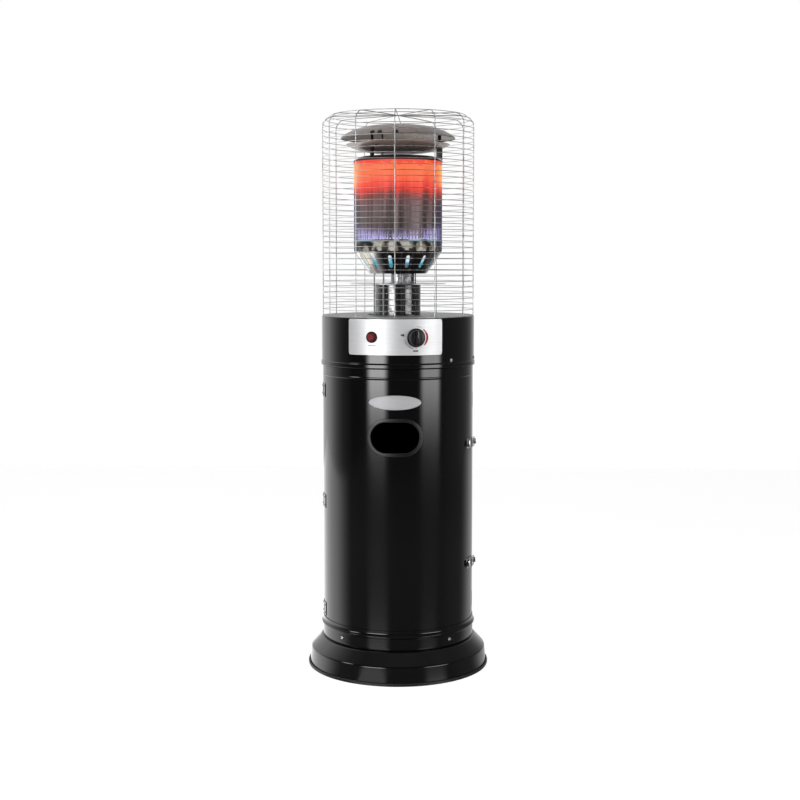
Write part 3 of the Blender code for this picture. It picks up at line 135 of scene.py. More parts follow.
class Shade:
    """A node tree that is being filled: a material's or the world's."""

    def __init__(self, tree: bpy.types.NodeTree) -> None:
        """Start from an empty tree."""
        self.tree = tree
        tree.nodes.clear()

    def node(
        self,
        kind: str,
        settings: dict[str, object] | None = None,
        values: dict[int | str, object] | None = None,
        outlet: int | str = 0,
    ) -> Signal:
        """Add a node.

        Args:
            kind: the node's type.
            settings: its own settings, and a ramp's "stops" as (place, colour) pairs.
            values: its sockets' values or links, by name or number.
            outlet: the output that is returned.

        Returns:
            The output as a signal.
        """
        made = self.tree.nodes.new(kind)
        for key, value in (settings or {}).items():
            if key != "stops":
                setattr(made, key, value)
                continue
            stops = made.color_ramp.elements
            while len(stops) < len(value):
                stops.new(0.5)
            for stop, (place_at, colour) in zip(stops, value):
                stop.position = place_at
                stop.color = (*colour, 1.0)
        for key, value in (values or {}).items():
            socket = made.inputs[key]
            if isinstance(value, Signal):
                self.tree.links.new(value.socket, socket)
            elif isinstance(value, tuple) and socket.type == "RGBA":
                socket.default_value = (*value, 1.0)[:4]
            else:
                socket.default_value = value
        return Signal(self, made.outputs[outlet] if made.outputs else None)

    def mix(self, factor: Signal | float, first: Signal | Colour, second: Signal | Colour) -> Signal:
        """Mix two colours."""
        settings = {"data_type": "RGBA", "blend_type": "MIX", "clamp_factor": True}
        return self.node("ShaderNodeMix", settings, {0: factor, 6: first, 7: second}, 2)

    def vector(self, operation: str, *values: object) -> Signal:
        """Run a Vector Math node."""
        return self.node("ShaderNodeVectorMath", {"operation": operation}, dict(enumerate(values)))

    def place(self) -> Signal:
        """The shaded point in the piece's own metres."""
        return self.node("ShaderNodeTexCoord", outlet="Object")

    def axes(self, vector: Signal | None = None) -> tuple[Signal, Signal, Signal]:
        """The x, y and z of a vector, or of the shaded point."""
        first = self.node("ShaderNodeSeparateXYZ", values={0: vector or self.place()})
        return tuple(first.beside(k) for k in range(3))

    def bearing(self, x: Signal, y: Signal) -> Signal:
        """Degrees round the body from the front, positive towards +X."""
        return x.math("ARCTAN2", y * -1.0) * (180 / math.pi)

    def rays(self) -> tuple[Signal, Signal, Signal]:
        """One for camera rays, for glossy rays and for transmission rays."""
        first = self.node("ShaderNodeLightPath", outlet="Is Camera Ray")
        return first, first.beside("Is Glossy Ray"), first.beside("Is Transmission Ray")

    def joined(self, x: Signal | float, y: Signal | float, z: Signal | float) -> Signal:
        """Three signals as a vector."""
        return self.node("ShaderNodeCombineXYZ", values={0: x, 1: y, 2: z})

    def noise(
        self, scale: float, detail: float = 2.0, at: Signal | None = None, roughness: float = 0.5
    ) -> Signal:
        """Soft noise about 0.5, over the piece or at a vector."""
        values = {"Vector": at or self.place(), "Scale": scale, "Detail": detail, "Roughness": roughness}
        return self.node("ShaderNodeTexNoise", None, values, "Fac")

    def ramp(self, factor: Signal, stops: Sequence[tuple[float, Colour]]) -> Signal:
        """Colours along a factor."""
        return self.node("ShaderNodeValToRGB", {"stops": stops}, {0: factor}, "Color")

    def bump(self, height: Signal, depth: float) -> Signal:
        """A normal bent by a height from 0 to 1 that stands for this depth in metres."""
        return self.node("ShaderNodeBump", None, {"Strength": 1.0, "Distance": depth, "Height": height})

    def surface(self, **inputs: object) -> None:
        """Close a material with a Principled shader. Names have _ for spaces."""
        values = {name.replace("_", " "): value for name, value in inputs.items()}
        shader = self.node("ShaderNodeBsdfPrincipled", None, values)
        self.node("ShaderNodeOutputMaterial", None, {"Surface": shader})


# Finishes


class Slot(Enum):
    """Material slots."""

    GLOSS_BLACK = "gloss_black"
    BLACK_PLASTIC = "black_plastic"
    RUBBER = "rubber"
    DECK_GREY = "deck_grey"
    BRUSHED_STEEL = "brushed_steel"
    ZINC = "zinc"
    WIRE = "wire"
    HEAT_STEEL = "heat_steel"
    POLISHED_STEEL = "polished_steel"
    GLOWING_STEEL = "glowing_steel"
    DARK_STEEL = "dark_steel"
    ALUMINIUM = "aluminium"
    BRASS = "brass"
    COPPER = "copper"
    BUTTON_RED = "button_red"


@dataclass(frozen=True)
class Finish:
    """A material and the slot it belongs to."""

    slot: Slot
    name: str = ""

    def dress(self, shade: Shade) -> None:
        """Fill the material's nodes, in its shade."""
        raise NotImplementedError

    def material(self) -> bpy.types.Material:
        """Make the material, once.

        Returns:
            The material.
        """
        name = self.name or self.slot.value
        made = bpy.data.materials.get("look_" + name)
        if made is None:
            made = bpy.data.materials.new("look_" + name)
            made.use_nodes = True
            self.dress(Shade(made.node_tree))
        return made


@dataclass(frozen=True)
class Enamel(Finish):
    """Sprayed gloss black: a clear skin with a faint orange peel over a near-black coat."""

    coat: Colour = (0.003, 0.003, 0.0032)
    roughness: float = 0.1
    peel_scale: float = 170.0
    peel_depth: float = 0.000008
    dull_inside: float = 0.176

    def dress(self, shade: Shade) -> None:
        """Colour, gloss and orange peel.

        Args:
            shade: the material's nodes.
        """
        x, y, _ = shade.axes()
        inside = (x * x + y * y).math("SQRT").fade(self.dull_inside, self.dull_inside - 0.004)
        dust = shade.noise(900.0, 1.0).fade(0.72, 0.8)
        cloud = shade.noise(7.0, 3.0)
        peel = shade.noise(self.peel_scale, 1.5)
        shade.surface(
            Base_Color=shade.mix(dust * 0.08, self.coat, (0.05, 0.05, 0.05)),
            Roughness=cloud * 0.04 + (self.roughness - 0.02) + dust * 0.06 + inside * 0.5,
            Normal=shade.bump(peel, self.peel_depth),
        )


@dataclass(frozen=True)
class Plastic(Finish):
    """Moulded plastic or rubber with a fine grain."""

    colour: Colour = (0.0045, 0.0045, 0.005)
    roughness: float = 0.3
    grain_scale: float = 1800.0
    grain_depth: float = 0.00002

    def dress(self, shade: Shade) -> None:
        """Colour with slight wear, and the grain.

        Args:
            shade: the material's nodes.
        """
        grain = shade.noise(self.grain_scale, 2.0)
        wear = shade.noise(90.0, 4.0).fade(0.5, 0.75)
        lighter = tuple(part * 1.5 + 0.002 for part in self.colour)
        shade.surface(
            Base_Color=shade.mix(wear, self.colour, lighter),
            Roughness=self.roughness + grain * 0.1 + wear * 0.06,
            Normal=shade.bump(grain, self.grain_depth),
        )


@dataclass(frozen=True)
class Brushed(Finish):
    """Sheet metal brushed round the body, under a thin haze."""

    colour: Colour = (0.70, 0.70, 0.71)
    metallic: float = 0.5
    roughness: float = 0.42
    stretch: float = 60.0
    line_scale: float = 1500.0
    depth: float = 0.000006

    def dress(self, shade: Shade) -> None:
        """Fine lines along the brushing, with streaks of tone.

        Args:
            shade: the material's nodes.
        """
        x, y, z = shade.axes()
        turn = x.math("ARCTAN2", y * -1.0)
        lines = shade.noise(self.line_scale, 3.0, shade.joined(turn / self.stretch, 0.0, z))
        streaks = shade.noise(260.0, 2.0, shade.joined(turn / self.stretch, 0.3, z))
        tone = lines * 0.5 + streaks * 0.5
        darker = tuple(part * 0.9 for part in self.colour)
        shade.surface(
            Base_Color=shade.mix(tone.fade(0.3, 0.7), darker, self.colour),
            Metallic=self.metallic,
            Roughness=self.roughness + lines * 0.14 - 0.07,
            Normal=shade.bump(lines, self.depth),
        )


@dataclass(frozen=True)
class Metal(Finish):
    """Bare or plated metal with small stains and scratches."""

    colour: Colour = (0.62, 0.62, 0.64)
    stain: Colour = (0.40, 0.39, 0.38)
    roughness: float = 0.22
    metallic: float = 1.0
    stain_scale: float = 60.0
    depth: float = 0.00001

    def dress(self, shade: Shade) -> None:
        """Two tones, uneven gloss and light scratches.

        Args:
            shade: the material's nodes.
        """
        patch = shade.noise(self.stain_scale, 5.0, roughness=0.62).fade(0.42, 0.7)
        scratch = shade.noise(1400.0, 2.0)
        shade.surface(
            Base_Color=shade.mix(patch, self.colour, self.stain),
            Metallic=self.metallic,
            Roughness=self.roughness + patch * 0.14 + scratch * 0.06,
            Normal=shade.bump(scratch, self.depth),
        )


@dataclass(frozen=True)
class HeatTint(Finish):
    """Polished steel that heat has turned pinkish brown, more so low on the piece."""

    rim: Colour = (0.20, 0.172, 0.155)
    tint: Colour = (0.150, 0.122, 0.108)
    low: float = 1.255
    high: float = 1.30
    roughness: float = 0.20

    def dress(self, shade: Shade) -> None:
        """Tint by height, with rings of colour and soft streaks.

        Args:
            shade: the material's nodes.
        """
        x, y, z = shade.axes()
        radius = (x * x + y * y).math("SQRT")
        cloud = shade.noise(22.0, 4.0)
        ring = radius.wave(0.021, 1.0) * 0.25
        heat = (z.fade(self.high, self.low) * 0.55 + cloud * 0.5 + ring - 0.15).math("MAXIMUM", 0.0)
        scratch = shade.noise(700.0, 3.0, shade.joined(x.math("ARCTAN2", y) * 0.02, radius, z))
        shade.surface(
            Base_Color=shade.mix(heat, self.rim, self.tint),
            Metallic=0.62,
            Roughness=self.roughness + cloud * 0.1 + scratch * 0.06,
            Normal=shade.bump(scratch, 0.00001),
        )


@dataclass(frozen=True)
class ConeSteel(Finish):
    """Polished steel with straw and greenish heat patches, soot streaks, and a painted dark reflection
    across its front.
    """

    plain: Colour = (0.80, 0.79, 0.77)
    straw: Colour = (0.55, 0.51, 0.40)
    # One dark colour for the soot streaks and the painted front reflection.
    painted_reflection_and_soot: Colour = (0.035, 0.033, 0.032)
    roughness: float = 0.13

    def dress(self, shade: Shade) -> None:
        """Patches that run down the piece, soot streaks, and a painted dark reflection on the front.

        Args:
            shade: the material's nodes.
        """
        x, y, z = shade.axes()
        degrees = shade.bearing(x, y)
        turn = degrees * (math.pi / 180)
        patch = shade.noise(9.0, 3.0, shade.joined(turn * 0.28, z * 0.8, 0.4)).fade(0.42, 0.62)
        stripe = shade.noise(26.0, 3.0, shade.joined(turn * 0.5, z * 0.25, 2.7)).fade(0.42, 0.62)
        # Painted reflection: from -27 to 72 degrees round the body the steel is darkened as if it mirrored
        # dark surroundings, while the sides stay bright.
        painted_front_reflection = degrees.between(-27.0, 72.0, 7.0)
        grain = shade.noise(900.0, 2.0)
        base = shade.mix(patch, self.plain, self.straw)
        # The real soot streaks and the painted front reflection share one dark colour.
        soot_and_painted_reflection = (painted_front_reflection * 0.92 + stripe * 0.55).math("MINIMUM", 1.0)
        shade.surface(
            Base_Color=shade.mix(soot_and_painted_reflection, base, self.painted_reflection_and_soot),
            Metallic=0.9,
            Roughness=self.roughness + soot_and_painted_reflection * 0.12 + grain * 0.05,
            Normal=shade.bump(grain, 0.00001),
        )


@dataclass(frozen=True)
class Glow(Finish):
    """The burner screen: perforated steel, red hot on top, with blue flames showing through at its foot."""

    band: float = 1.0410
    ports: float = 1.0480
    dark: float = 1.1260
    hot: float = 1.1530
    top: float = 1.2340
    pitch: float = 0.0030
    radius: float = 0.1075
    flank_span: tuple[float, float] = (1.152, 1.125)
    tongue_height: float = 0.056
    port_gap: float = 0.0082
    port_half: float = 0.0012

    def dress(self, shade: Shade) -> None:
        """Heights mixed with streaks, holes and flames, a painted highlight on the hot top's edges and
        painted shade on the lower flanks.

        Args:
            shade: the material's nodes.
        """
        x, y, z = shade.axes()
        turn = x.math("ARCTAN2", y * -1.0) * self.radius
        cells = shade.joined(turn / self.pitch, z / self.pitch, 0.0)
        holes = shade.node(
            "ShaderNodeTexVoronoi", {"feature": "F1", "voronoi_dimensions": "2D"},
            {"Vector": cells, "Scale": 1.0, "Randomness": 0.12}, "Distance",
        ).fade(0.3, 0.42)
        streak = shade.noise(1.0, 3.0, shade.joined(turn * 170.0, z * 7.0, 0.0))
        wide = shade.noise(1.0, 1.0, shade.joined(turn * 45.0, z * 2.5, 5.0))
        edge = z + (streak - 0.5) * 0.035 + (wide - 0.5) * 0.04
        span = self.top - self.band
        glow = shade.ramp((edge - self.band) / span, [
            (0.0, (0.0, 0.0, 0.0)), (0.32, (0.012, 0.005, 0.004)), (0.46, (0.045, 0.011, 0.008)),
            (0.56, (0.17, 0.018, 0.012)), (0.62, (0.66, 0.034, 0.020)), (0.70, (1.00, 0.060, 0.030)),
            (0.80, (1.02, 0.16, 0.055)), (0.94, (1.02, 0.20, 0.060)), (0.97, (0.95, 0.06, 0.030)),
        ])
        side = shade.node("ShaderNodeLayerWeight", None, {"Blend": 0.5}, "Facing")
        # Painted highlight: towards the silhouette edges, as seen from the camera, the hot top is mixed
        # towards pale gold.
        painted_edge_glint = side.fade(0.40, 0.85) * z.fade(self.top - 0.075, self.top - 0.045)
        painted_edge_glint = painted_edge_glint * z.fade(self.top - 0.004, self.top - 0.012)
        glow = shade.mix(painted_edge_glint * 0.85, glow, (1.2, 0.55, 0.16))
        below = z.fade(*self.flank_span)
        # Painted shade: the lower flanks darken towards the silhouette edges, as seen from the camera.
        painted_flank_shade = side.fade(0.50, 0.72) * below
        tall = shade.noise(1.0, 2.0, shade.joined(turn * 260.0, 0.0, 9.0))
        tip = z - self.ports - tall * self.tongue_height - side * 0.020 + 0.016
        tongue = tip.fade(0.015, -0.010) * z.fade(self.band + 0.002, self.ports)
        gap = shade.noise(1.0, 1.0, shade.joined(turn * 420.0, z * 12.0, 4.0)).fade(0.36, 0.56)
        tongue = tongue * (gap * 0.75 + 0.25)
        flame = shade.mix(tongue, (0.05, 0.04, 0.20), (0.52, 0.47, 1.0))
        port = turn.wave(self.port_gap).fade(0.55, 0.95)
        port = port * z.between(self.ports - self.port_half, self.ports + self.port_half, 0.0008)
        rim = z.between(self.band + 0.0008, self.band + 0.0050, 0.0012) * wide.fade(0.30, 0.55)
        dark, pale = (0.028, 0.019, 0.018), (0.24, 0.19, 0.195)
        steel = shade.mix((streak * 0.75 + wide * 0.6 - 0.17).fade(0.3, 0.72), dark, pale)
        lower = z.fade(self.band + 0.003, self.band - 0.001)
        patch = shade.noise(1.0, 2.0, shade.joined(turn * 55.0, z * 40.0, 2.0))
        band = shade.ramp(patch, [
            (0.42, (0.006, 0.006, 0.005)), (0.50, (0.20, 0.18, 0.13)), (0.56, (0.50, 0.48, 0.44)),
        ])
        steel = shade.mix(lower, steel, band)
        glow = shade.mix(tongue * 0.85, glow, flame)
        glow = shade.mix(rim * 0.7, glow, (0.20, 0.62, 0.85))
        glow = shade.mix(port * 0.9, glow, (0.75, 0.92, 1.0))
        # The painted flank shade dims the glow and the flames, then darkens the steel.
        glow = shade.mix(painted_flank_shade * 0.85, glow, (0.012, 0.012, 0.05))
        steel = shade.mix(painted_flank_shade * 0.7, steel, (0.03, 0.03, 0.04))
        # More painted shade on the steel of the lower flanks, starting at a wider angle.
        steel = shade.mix(side.fade(0.22, 0.60) * below * 0.6, steel, (0.02, 0.02, 0.032))
        shade.surface(
            Base_Color=shade.mix(z.fade(self.dark, self.hot + 0.01) * 0.9, steel, (0.06, 0.02, 0.015)),
            Metallic=0.3,
            Roughness=0.42 + streak * 0.15,
            Emission_Color=shade.mix(holes * 0.30, glow, shade.mix(0.7, glow, (0.0, 0.0, 0.0))),
            Emission_Strength=1.0,
            Normal=shade.bump(1.0 - holes, 0.0003),
        )


@dataclass(frozen=True)
class Flame(Finish):
    """Burning gas seen through the slots: blue-white, paler low down."""

    low: float = 0.97
    high: float = 1.01

    def dress(self, shade: Shade) -> None:
        """Blue to white by height, with soft flicker.

        Args:
            shade: the material's nodes.
        """
        _, _, z = shade.axes()
        flicker = shade.noise(40.0, 2.0)
        height = z.fade(self.low, self.high) * 0.45 + flicker * 0.75 - 0.1
        colour = shade.ramp(height, [
            (0.20, (0.10, 0.11, 0.13)), (0.36, (0.04, 0.30, 0.42)),
            (0.50, (0.10, 0.50, 0.66)), (0.66, (0.72, 0.80, 0.86)),
        ])
        shade.surface(
            Base_Color=(0.02, 0.02, 0.03), Roughness=0.6, Emission_Color=colour, Emission_Strength=1.0
        )


GLOSS_BLACK = Enamel(Slot.GLOSS_BLACK)
BLACK_PLASTIC = Plastic(Slot.BLACK_PLASTIC)
RUBBER = Plastic(Slot.RUBBER, colour=(0.012, 0.012, 0.012), roughness=0.5, grain_scale=900.0)
DECK_GREY = Metal(
    Slot.DECK_GREY, colour=(0.38, 0.38, 0.385), stain=(0.29, 0.29, 0.295), roughness=0.34, metallic=0.5
)
BRUSHED_STEEL = Brushed(Slot.BRUSHED_STEEL)
ALUMINIUM_SHEET = Brushed(
    Slot.ALUMINIUM, "badge_aluminium", colour=(0.47, 0.47, 0.48), roughness=0.52, metallic=0.35
)
ZINC = Metal(Slot.ZINC, roughness=0.16)
WIRE = Metal(
    Slot.WIRE, colour=(0.64, 0.64, 0.65), stain=(0.50, 0.50, 0.51), roughness=0.36, stain_scale=25.0
)
RING_WIRE = Metal(
    Slot.WIRE, "ring_wire", colour=(0.74, 0.74, 0.745), stain=(0.58, 0.58, 0.585), roughness=0.42,
    stain_scale=25.0,
)
HEAT_STEEL = HeatTint(Slot.HEAT_STEEL)
WARM_STEEL = HeatTint(Slot.HEAT_STEEL, "warm_steel", rim=(0.36, 0.33, 0.31), tint=(0.42, 0.33, 0.30))
SHROUD_STEEL = Metal(
    Slot.DARK_STEEL, "shroud_steel", colour=(0.16, 0.16, 0.16), stain=(0.05, 0.05, 0.05), roughness=0.14
)
LEG_STEEL = Metal(
    Slot.ALUMINIUM, "leg_steel", colour=(0.20, 0.20, 0.205), stain=(0.12, 0.12, 0.12), roughness=0.3
)
SOOTY_COPPER = Metal(
    Slot.COPPER, "sooty_copper", colour=(0.06, 0.05, 0.045), stain=(0.03, 0.028, 0.026), roughness=0.4
)
SCREW_ZINC = Metal(
    Slot.ZINC, "screw_zinc", colour=(0.85, 0.85, 0.86), stain=(0.7, 0.7, 0.7), roughness=0.45
)
POLISHED_STEEL = ConeSteel(Slot.POLISHED_STEEL)
PALE_STEEL = Metal(Slot.POLISHED_STEEL, "pale_steel", colour=(0.62, 0.62, 0.63), roughness=0.24)
GLOWING_STEEL = Glow(Slot.GLOWING_STEEL)
DARK_STEEL = Metal(
    Slot.DARK_STEEL, colour=(0.022, 0.021, 0.021), stain=(0.05, 0.043, 0.04), roughness=0.34, metallic=0.6
)
ALUMINIUM = Metal(Slot.ALUMINIUM, colour=(0.60, 0.60, 0.61), stain=(0.44, 0.43, 0.42), roughness=0.33)
BRASS = Metal(Slot.BRASS, colour=(0.60, 0.42, 0.16), stain=(0.36, 0.24, 0.10), roughness=0.26)
COPPER = Metal(Slot.COPPER, colour=(0.62, 0.30, 0.18), stain=(0.34, 0.17, 0.11), roughness=0.28)
BUTTON_RED = Plastic(
    Slot.BUTTON_RED, colour=(0.12, 0.003, 0.007), roughness=0.5, grain_scale=500.0, grain_depth=5e-6
)
BEZEL_RED = Plastic(
    Slot.BLACK_PLASTIC, "bezel_red", colour=(0.012, 0.002, 0.002), roughness=0.55, grain_scale=500.0,
    grain_depth=5e-6,
)
MARK_RED = Plastic(
    Slot.BRUSHED_STEEL, "mark_red", colour=(0.36, 0.006, 0.012), roughness=0.5, grain_depth=5e-6
)
MARK_GREY = Plastic(
    Slot.BRUSHED_STEEL, "mark_grey", colour=(0.03, 0.03, 0.032), roughness=0.4, grain_depth=5e-6
)
MARK_PALE = Plastic(
    Slot.BLACK_PLASTIC, "mark_pale", colour=(0.13, 0.135, 0.13), roughness=0.4, grain_depth=5e-6
)
FLAME = Flame(Slot.GLOWING_STEEL, "flame")


# Shapes


def polar(radius: float, angle: float, height: float) -> Vector:
    """The point at this radius, angle round the body and height."""
    turn = math.radians(angle)
    return Vector((radius * math.sin(turn), -radius * math.cos(turn), height))


def wall_place(radius: float, angle: float, height: float) -> Matrix:
    """A frame on the wall: X to the left as seen from outside, Y outward, Z up."""
    turn = Matrix.Rotation(math.radians(angle + 180), 4, "Z")
    return Matrix.Translation(polar(radius, angle, height)) @ turn


OUTWARD = Matrix.Rotation(math.radians(-90), 4, "X")


def radial_place(angle: float) -> Matrix:
    """A frame that stands flat (radius, height) outlines up at this angle."""
    return Matrix.Rotation(math.radians(angle - 90), 4, "Z") @ Matrix.Rotation(math.radians(90), 4, "X")


def fillet(points: Sequence[tuple[float, ...]], closed: bool = False, steps: int = 4) -> Profile:
    """Round the corners of an outline.

    Args:
        points: (x, y) or (x, y, reach); a corner with a reach is rounded over that length on both sides.
        closed: whether the outline runs from its last point to its first.
        steps: pieces of each round.

    Returns:
        The outline's points.
    """
    count = len(points)
    flat = [Vector(point[:2]) for point in points]
    made: Profile = []
    for k, point in enumerate(points):
        here = flat[k]
        inside = closed or 0 < k < count - 1
        if len(point) < 3 or not inside or not point[2]:
            made.append(tuple(here))
            continue
        before, after = flat[k - 1], flat[(k + 1) % count]
        reach = min(point[2], (before - here).length * 0.49, (after - here).length * 0.49)
        first = here + (before - here).normalized() * reach
        last = here + (after - here).normalized() * reach
        for step in range(steps + 1):
            t = step / steps
            made.append(tuple(first * (1 - t) ** 2 + here * 2 * t * (1 - t) + last * t**2))
    return made


def sheet_loop(outer: Profile, wall: float) -> Profile:
    """A closed section of sheet metal.

    Args:
        outer: its outer side, which runs downward.
        wall: the metal's thickness.

    Returns:
        The section's points.
    """
    points = [Vector(point) for point in outer]
    inner = []
    for before, here, after in zip([points[0], *points], points, [*points[1:], points[-1]]):
        first, second = (here - before), (after - here)
        first = first.normalized() if first.length else second.normalized()
        second = second.normalized() if second.length else first
        middle = Vector((first.y + second.y, -first.x - second.x))
        scale = max(0.5, middle.length / 2)
        inner.append(here + middle.normalized() * wall / scale)
    return [tuple(point) for point in points] + [(max(0.0, point.x), point.y) for point in reversed(inner)]


def held(profile: Profile, closed: bool, near: float = 0.0008, long: float = 0.006) -> Profile:
    """Add points next to the ends of long straight runs, so that their shading stays flat.

    Args:
        profile: the outline.
        closed: whether it closes on itself.
        near: how far from an end the added point is.
        long: runs longer than this get the points.

    Returns:
        The outline with the added points.
    """
    made: Profile = []
    count = len(profile)
    for k, (x, y) in enumerate(profile):
        made.append((x, y))
        if not closed and k == count - 1:
            break
        after_x, after_y = profile[(k + 1) % count]
        run = math.hypot(after_x - x, after_y - y)
        if run > long:
            made += [(x + (after_x - x) * t, y + (after_y - y) * t) for t in (near / run, 1.0 - near / run)]
    return made


def face_out(shape: Shape) -> Shape:
    """Turn a shape's faces outward."""
    bmesh.ops.recalc_face_normals(shape, faces=shape.faces)
    return shape


def skin(
    shape: Shape, rings: Sequence[Sequence[bmesh.types.BMVert]], around: bool = False, ends: bool = True
) -> Shape:
    """Join rings of points with faces.

    Args:
        shape: the shape that holds the points.
        rings: the rings, of equally many points.
        around: whether the last ring joins the first.
        ends: whether the first and last rings are closed.

    Returns:
        The shape.
    """
    for first, second in zip(rings, [*rings[1:], *(rings[:1] if around else ())]):
        for k in range(len(first)):
            shape.faces.new((first[k - 1], first[k], second[k], second[k - 1]))
    if ends:
        shape.faces.new(rings[0])
        shape.faces.new(rings[-1])
    return face_out(shape)


def lathe(
    profile: Profile, closed: bool = True, segments: int = SEGMENTS, start: float = 0.0, sweep: float = 360.0
) -> Shape:
    """Turn a (radius, height) profile about Z.

    Args:
        profile: the section, down its outer side.
        closed: whether the section closes on itself; one that ends on the axis stays open.
        segments: columns of faces.
        start: first angle in degrees.
        sweep: how far it turns.

    Returns:
        The shape.
    """
    shape = bmesh.new()
    profile = held(profile, closed)
    full = sweep >= 360.0
    poles: dict[int, bmesh.types.BMVert] = {}
    columns = []
    for step in range(segments if full else segments + 1):
        angle = start + sweep * step / segments
        column = []
        for k, (radius, height) in enumerate(profile):
            if radius > 1e-6:
                column.append(shape.verts.new(polar(radius, angle, height)))
                continue
            if k not in poles:
                poles[k] = shape.verts.new((0.0, 0.0, height))
            column.append(poles[k])
        columns.append(column)
    following = columns[1:] + (columns[:1] if full else [])
    count = len(profile)
    for left, right in zip(columns, following):
        for k in range(count if closed else count - 1):
            after = (k + 1) % count
            corners = list(dict.fromkeys((left[k], left[after], right[after], right[k])))
            if len(corners) > 2:
                shape.faces.new(corners)
    if closed and not full:
        shape.faces.new(columns[0])
        shape.faces.new(columns[-1])
    return face_out(shape)


def tube(
    points: Iterable[Sequence[float]], radius: float, sides: int = 10, closed: bool = False,
    shape: Shape | None = None,
) -> Shape:
    """A round wire.

    Args:
        points: the points that it follows.
        radius: the wire's radius.
        sides: faces round it.
        closed: whether it is a ring.
        shape: a shape that it is added to.

    Returns:
        The shape.
    """
    shape = shape or bmesh.new()
    route = [Vector(point) for point in points]
    count = len(route)
    normal = None
    loops = []
    for k, here in enumerate(route):
        before = route[k - 1] if closed or k else here
        after = route[(k + 1) % count] if closed or k < count - 1 else here
        along = (after - before).normalized()
        normal = along.orthogonal() if normal is None else normal - along * normal.dot(along)
        normal.normalize()
        side = along.cross(normal)
        turns = (2 * math.pi * step / sides for step in range(sides))
        spokes = [normal * math.cos(turn) + side * math.sin(turn) for turn in turns]
        loops.append([shape.verts.new(here + radius * spoke) for spoke in spokes])
    return skin(shape, loops, closed, not closed)


def stadium(width: float, height: float, steps: int = 16) -> Profile:
    """Outline of a slot with full-round ends.

    Args:
        width: its whole width.
        height: its height, and the width of its rounds.
        steps: pieces of each round.

    Returns:
        The outline's points.
    """
    radius, straight = height / 2, (width - height) / 2
    points = []
    for side in (1, -1):
        for step in range(steps + 1):
            turn = math.radians(-90 + 180 * step / steps)
            points.append((side * (straight + radius * math.cos(turn)), side * radius * math.sin(turn)))
    return points


def oval(width: float, height: float, steps: int = 64) -> Profile:
    """Outline of an ellipse."""
    turns = [2 * math.pi * step / steps for step in range(steps)]
    return [(width / 2 * math.cos(turn), height / 2 * math.sin(turn)) for turn in turns]


def round_box(width: float, height: float, corner: float) -> Profile:
    """Outline of a rectangle with round corners."""
    x, y = width / 2, height / 2
    return fillet([(x, -y, corner), (x, y, corner), (-x, y, corner), (-x, -y, corner)], closed=True, steps=6)


def flat_sheet(outline: Profile, thickness: float, edge: float, holes: Sequence[Profile] = ()) -> Shape:
    """A flat sheet in XY, from z 0 to its thickness.

    Args:
        outline: its outline.
        thickness: its thickness.
        edge: the radius of its edges.
        holes: outlines of holes through it.

    Returns:
        The shape.
    """
    curve = bpy.data.curves.new("outline", "CURVE")
    curve.dimensions = "2D"
    curve.fill_mode = "BOTH"
    curve.extrude = thickness / 2 - edge
    curve.bevel_depth = edge
    curve.bevel_resolution = 2
    curve.offset = -edge
    for loop in (outline, *holes):
        spline = curve.splines.new("POLY")
        spline.points.add(len(loop) - 1)
        for point, (x, y) in zip(spline.points, loop):
            point.co = (x, y, 0.0, 1.0)
        spline.use_cyclic_u = True
    holder = bpy.data.objects.new("outline", curve)
    link(holder)
    mesh = evaluated(holder)
    bpy.data.objects.remove(holder, do_unlink=True)
    bpy.data.curves.remove(curve)
    shape = bmesh.new()
    shape.from_mesh(mesh)
    bpy.data.meshes.remove(mesh)
    bmesh.ops.remove_doubles(shape, verts=shape.verts, dist=1e-6)
    bmesh.ops.translate(shape, verts=shape.verts, vec=(0.0, 0.0, thickness / 2))
    return face_out(shape)


def link(made: bpy.types.Object) -> None:
    """Put an object in the scene."""
    bpy.context.scene.collection.objects.link(made)


def evaluated(made: bpy.types.Object) -> bpy.types.Mesh:
    """A new mesh of an object as its modifiers leave it."""
    bpy.context.view_layer.update()
    return bpy.data.meshes.new_from_object(made.evaluated_get(bpy.context.evaluated_depsgraph_get()))


def bend(shape: Shape, radius: float, angle: float, height: float, step: float = 0.004) -> Shape:
    """Wrap a flat sheet round the body: x goes round it, y up and z outward.

    Args:
        shape: the sheet, which is changed.
        radius: the radius of its inner face.
        angle: the angle that its middle goes to.
        height: the height that its middle goes to.
        step: width of the faces that it is cut into.

    Returns:
        The shape.
    """
    low = min(vert.co.x for vert in shape.verts)
    high = max(vert.co.x for vert in shape.verts)
    place_at = math.ceil(low / step) * step
    while place_at < high:
        geometry = [*shape.verts, *shape.edges, *shape.faces]
        bmesh.ops.bisect_plane(
            shape, geom=geometry, plane_co=(place_at, 0, 0), plane_no=(1, 0, 0), dist=1e-7
        )
        place_at += step
    for vert in shape.verts:
        x, y, z = vert.co
        vert.co = polar(radius + z, angle + math.degrees(x / radius), height + y)
    return shape


def bar(outline: Profile, thickness: float, edge: float, at: Matrix) -> Shape:
    """A flat sheet that stands in a frame.

    Args:
        outline: its outline in the frame's XY.
        thickness: its thickness, half on each side of XY.
        edge: the radius of its edges.
        at: the frame.

    Returns:
        The shape.
    """
    shape = flat_sheet(outline, thickness, edge)
    shape.transform(at @ Matrix.Translation((0.0, 0.0, -thickness / 2)))
    return shape


def merged(*shapes: Shape) -> Shape:
    """Several shapes as one.

    Args:
        shapes: the shapes, of which the others are used up.

    Returns:
        The first shape, with the others in it.
    """
    whole, *others = shapes
    for other in others:
        mesh = bpy.data.meshes.new("part")
        other.to_mesh(mesh)
        other.free()
        whole.from_mesh(mesh)
        bpy.data.meshes.remove(mesh)
    return whole


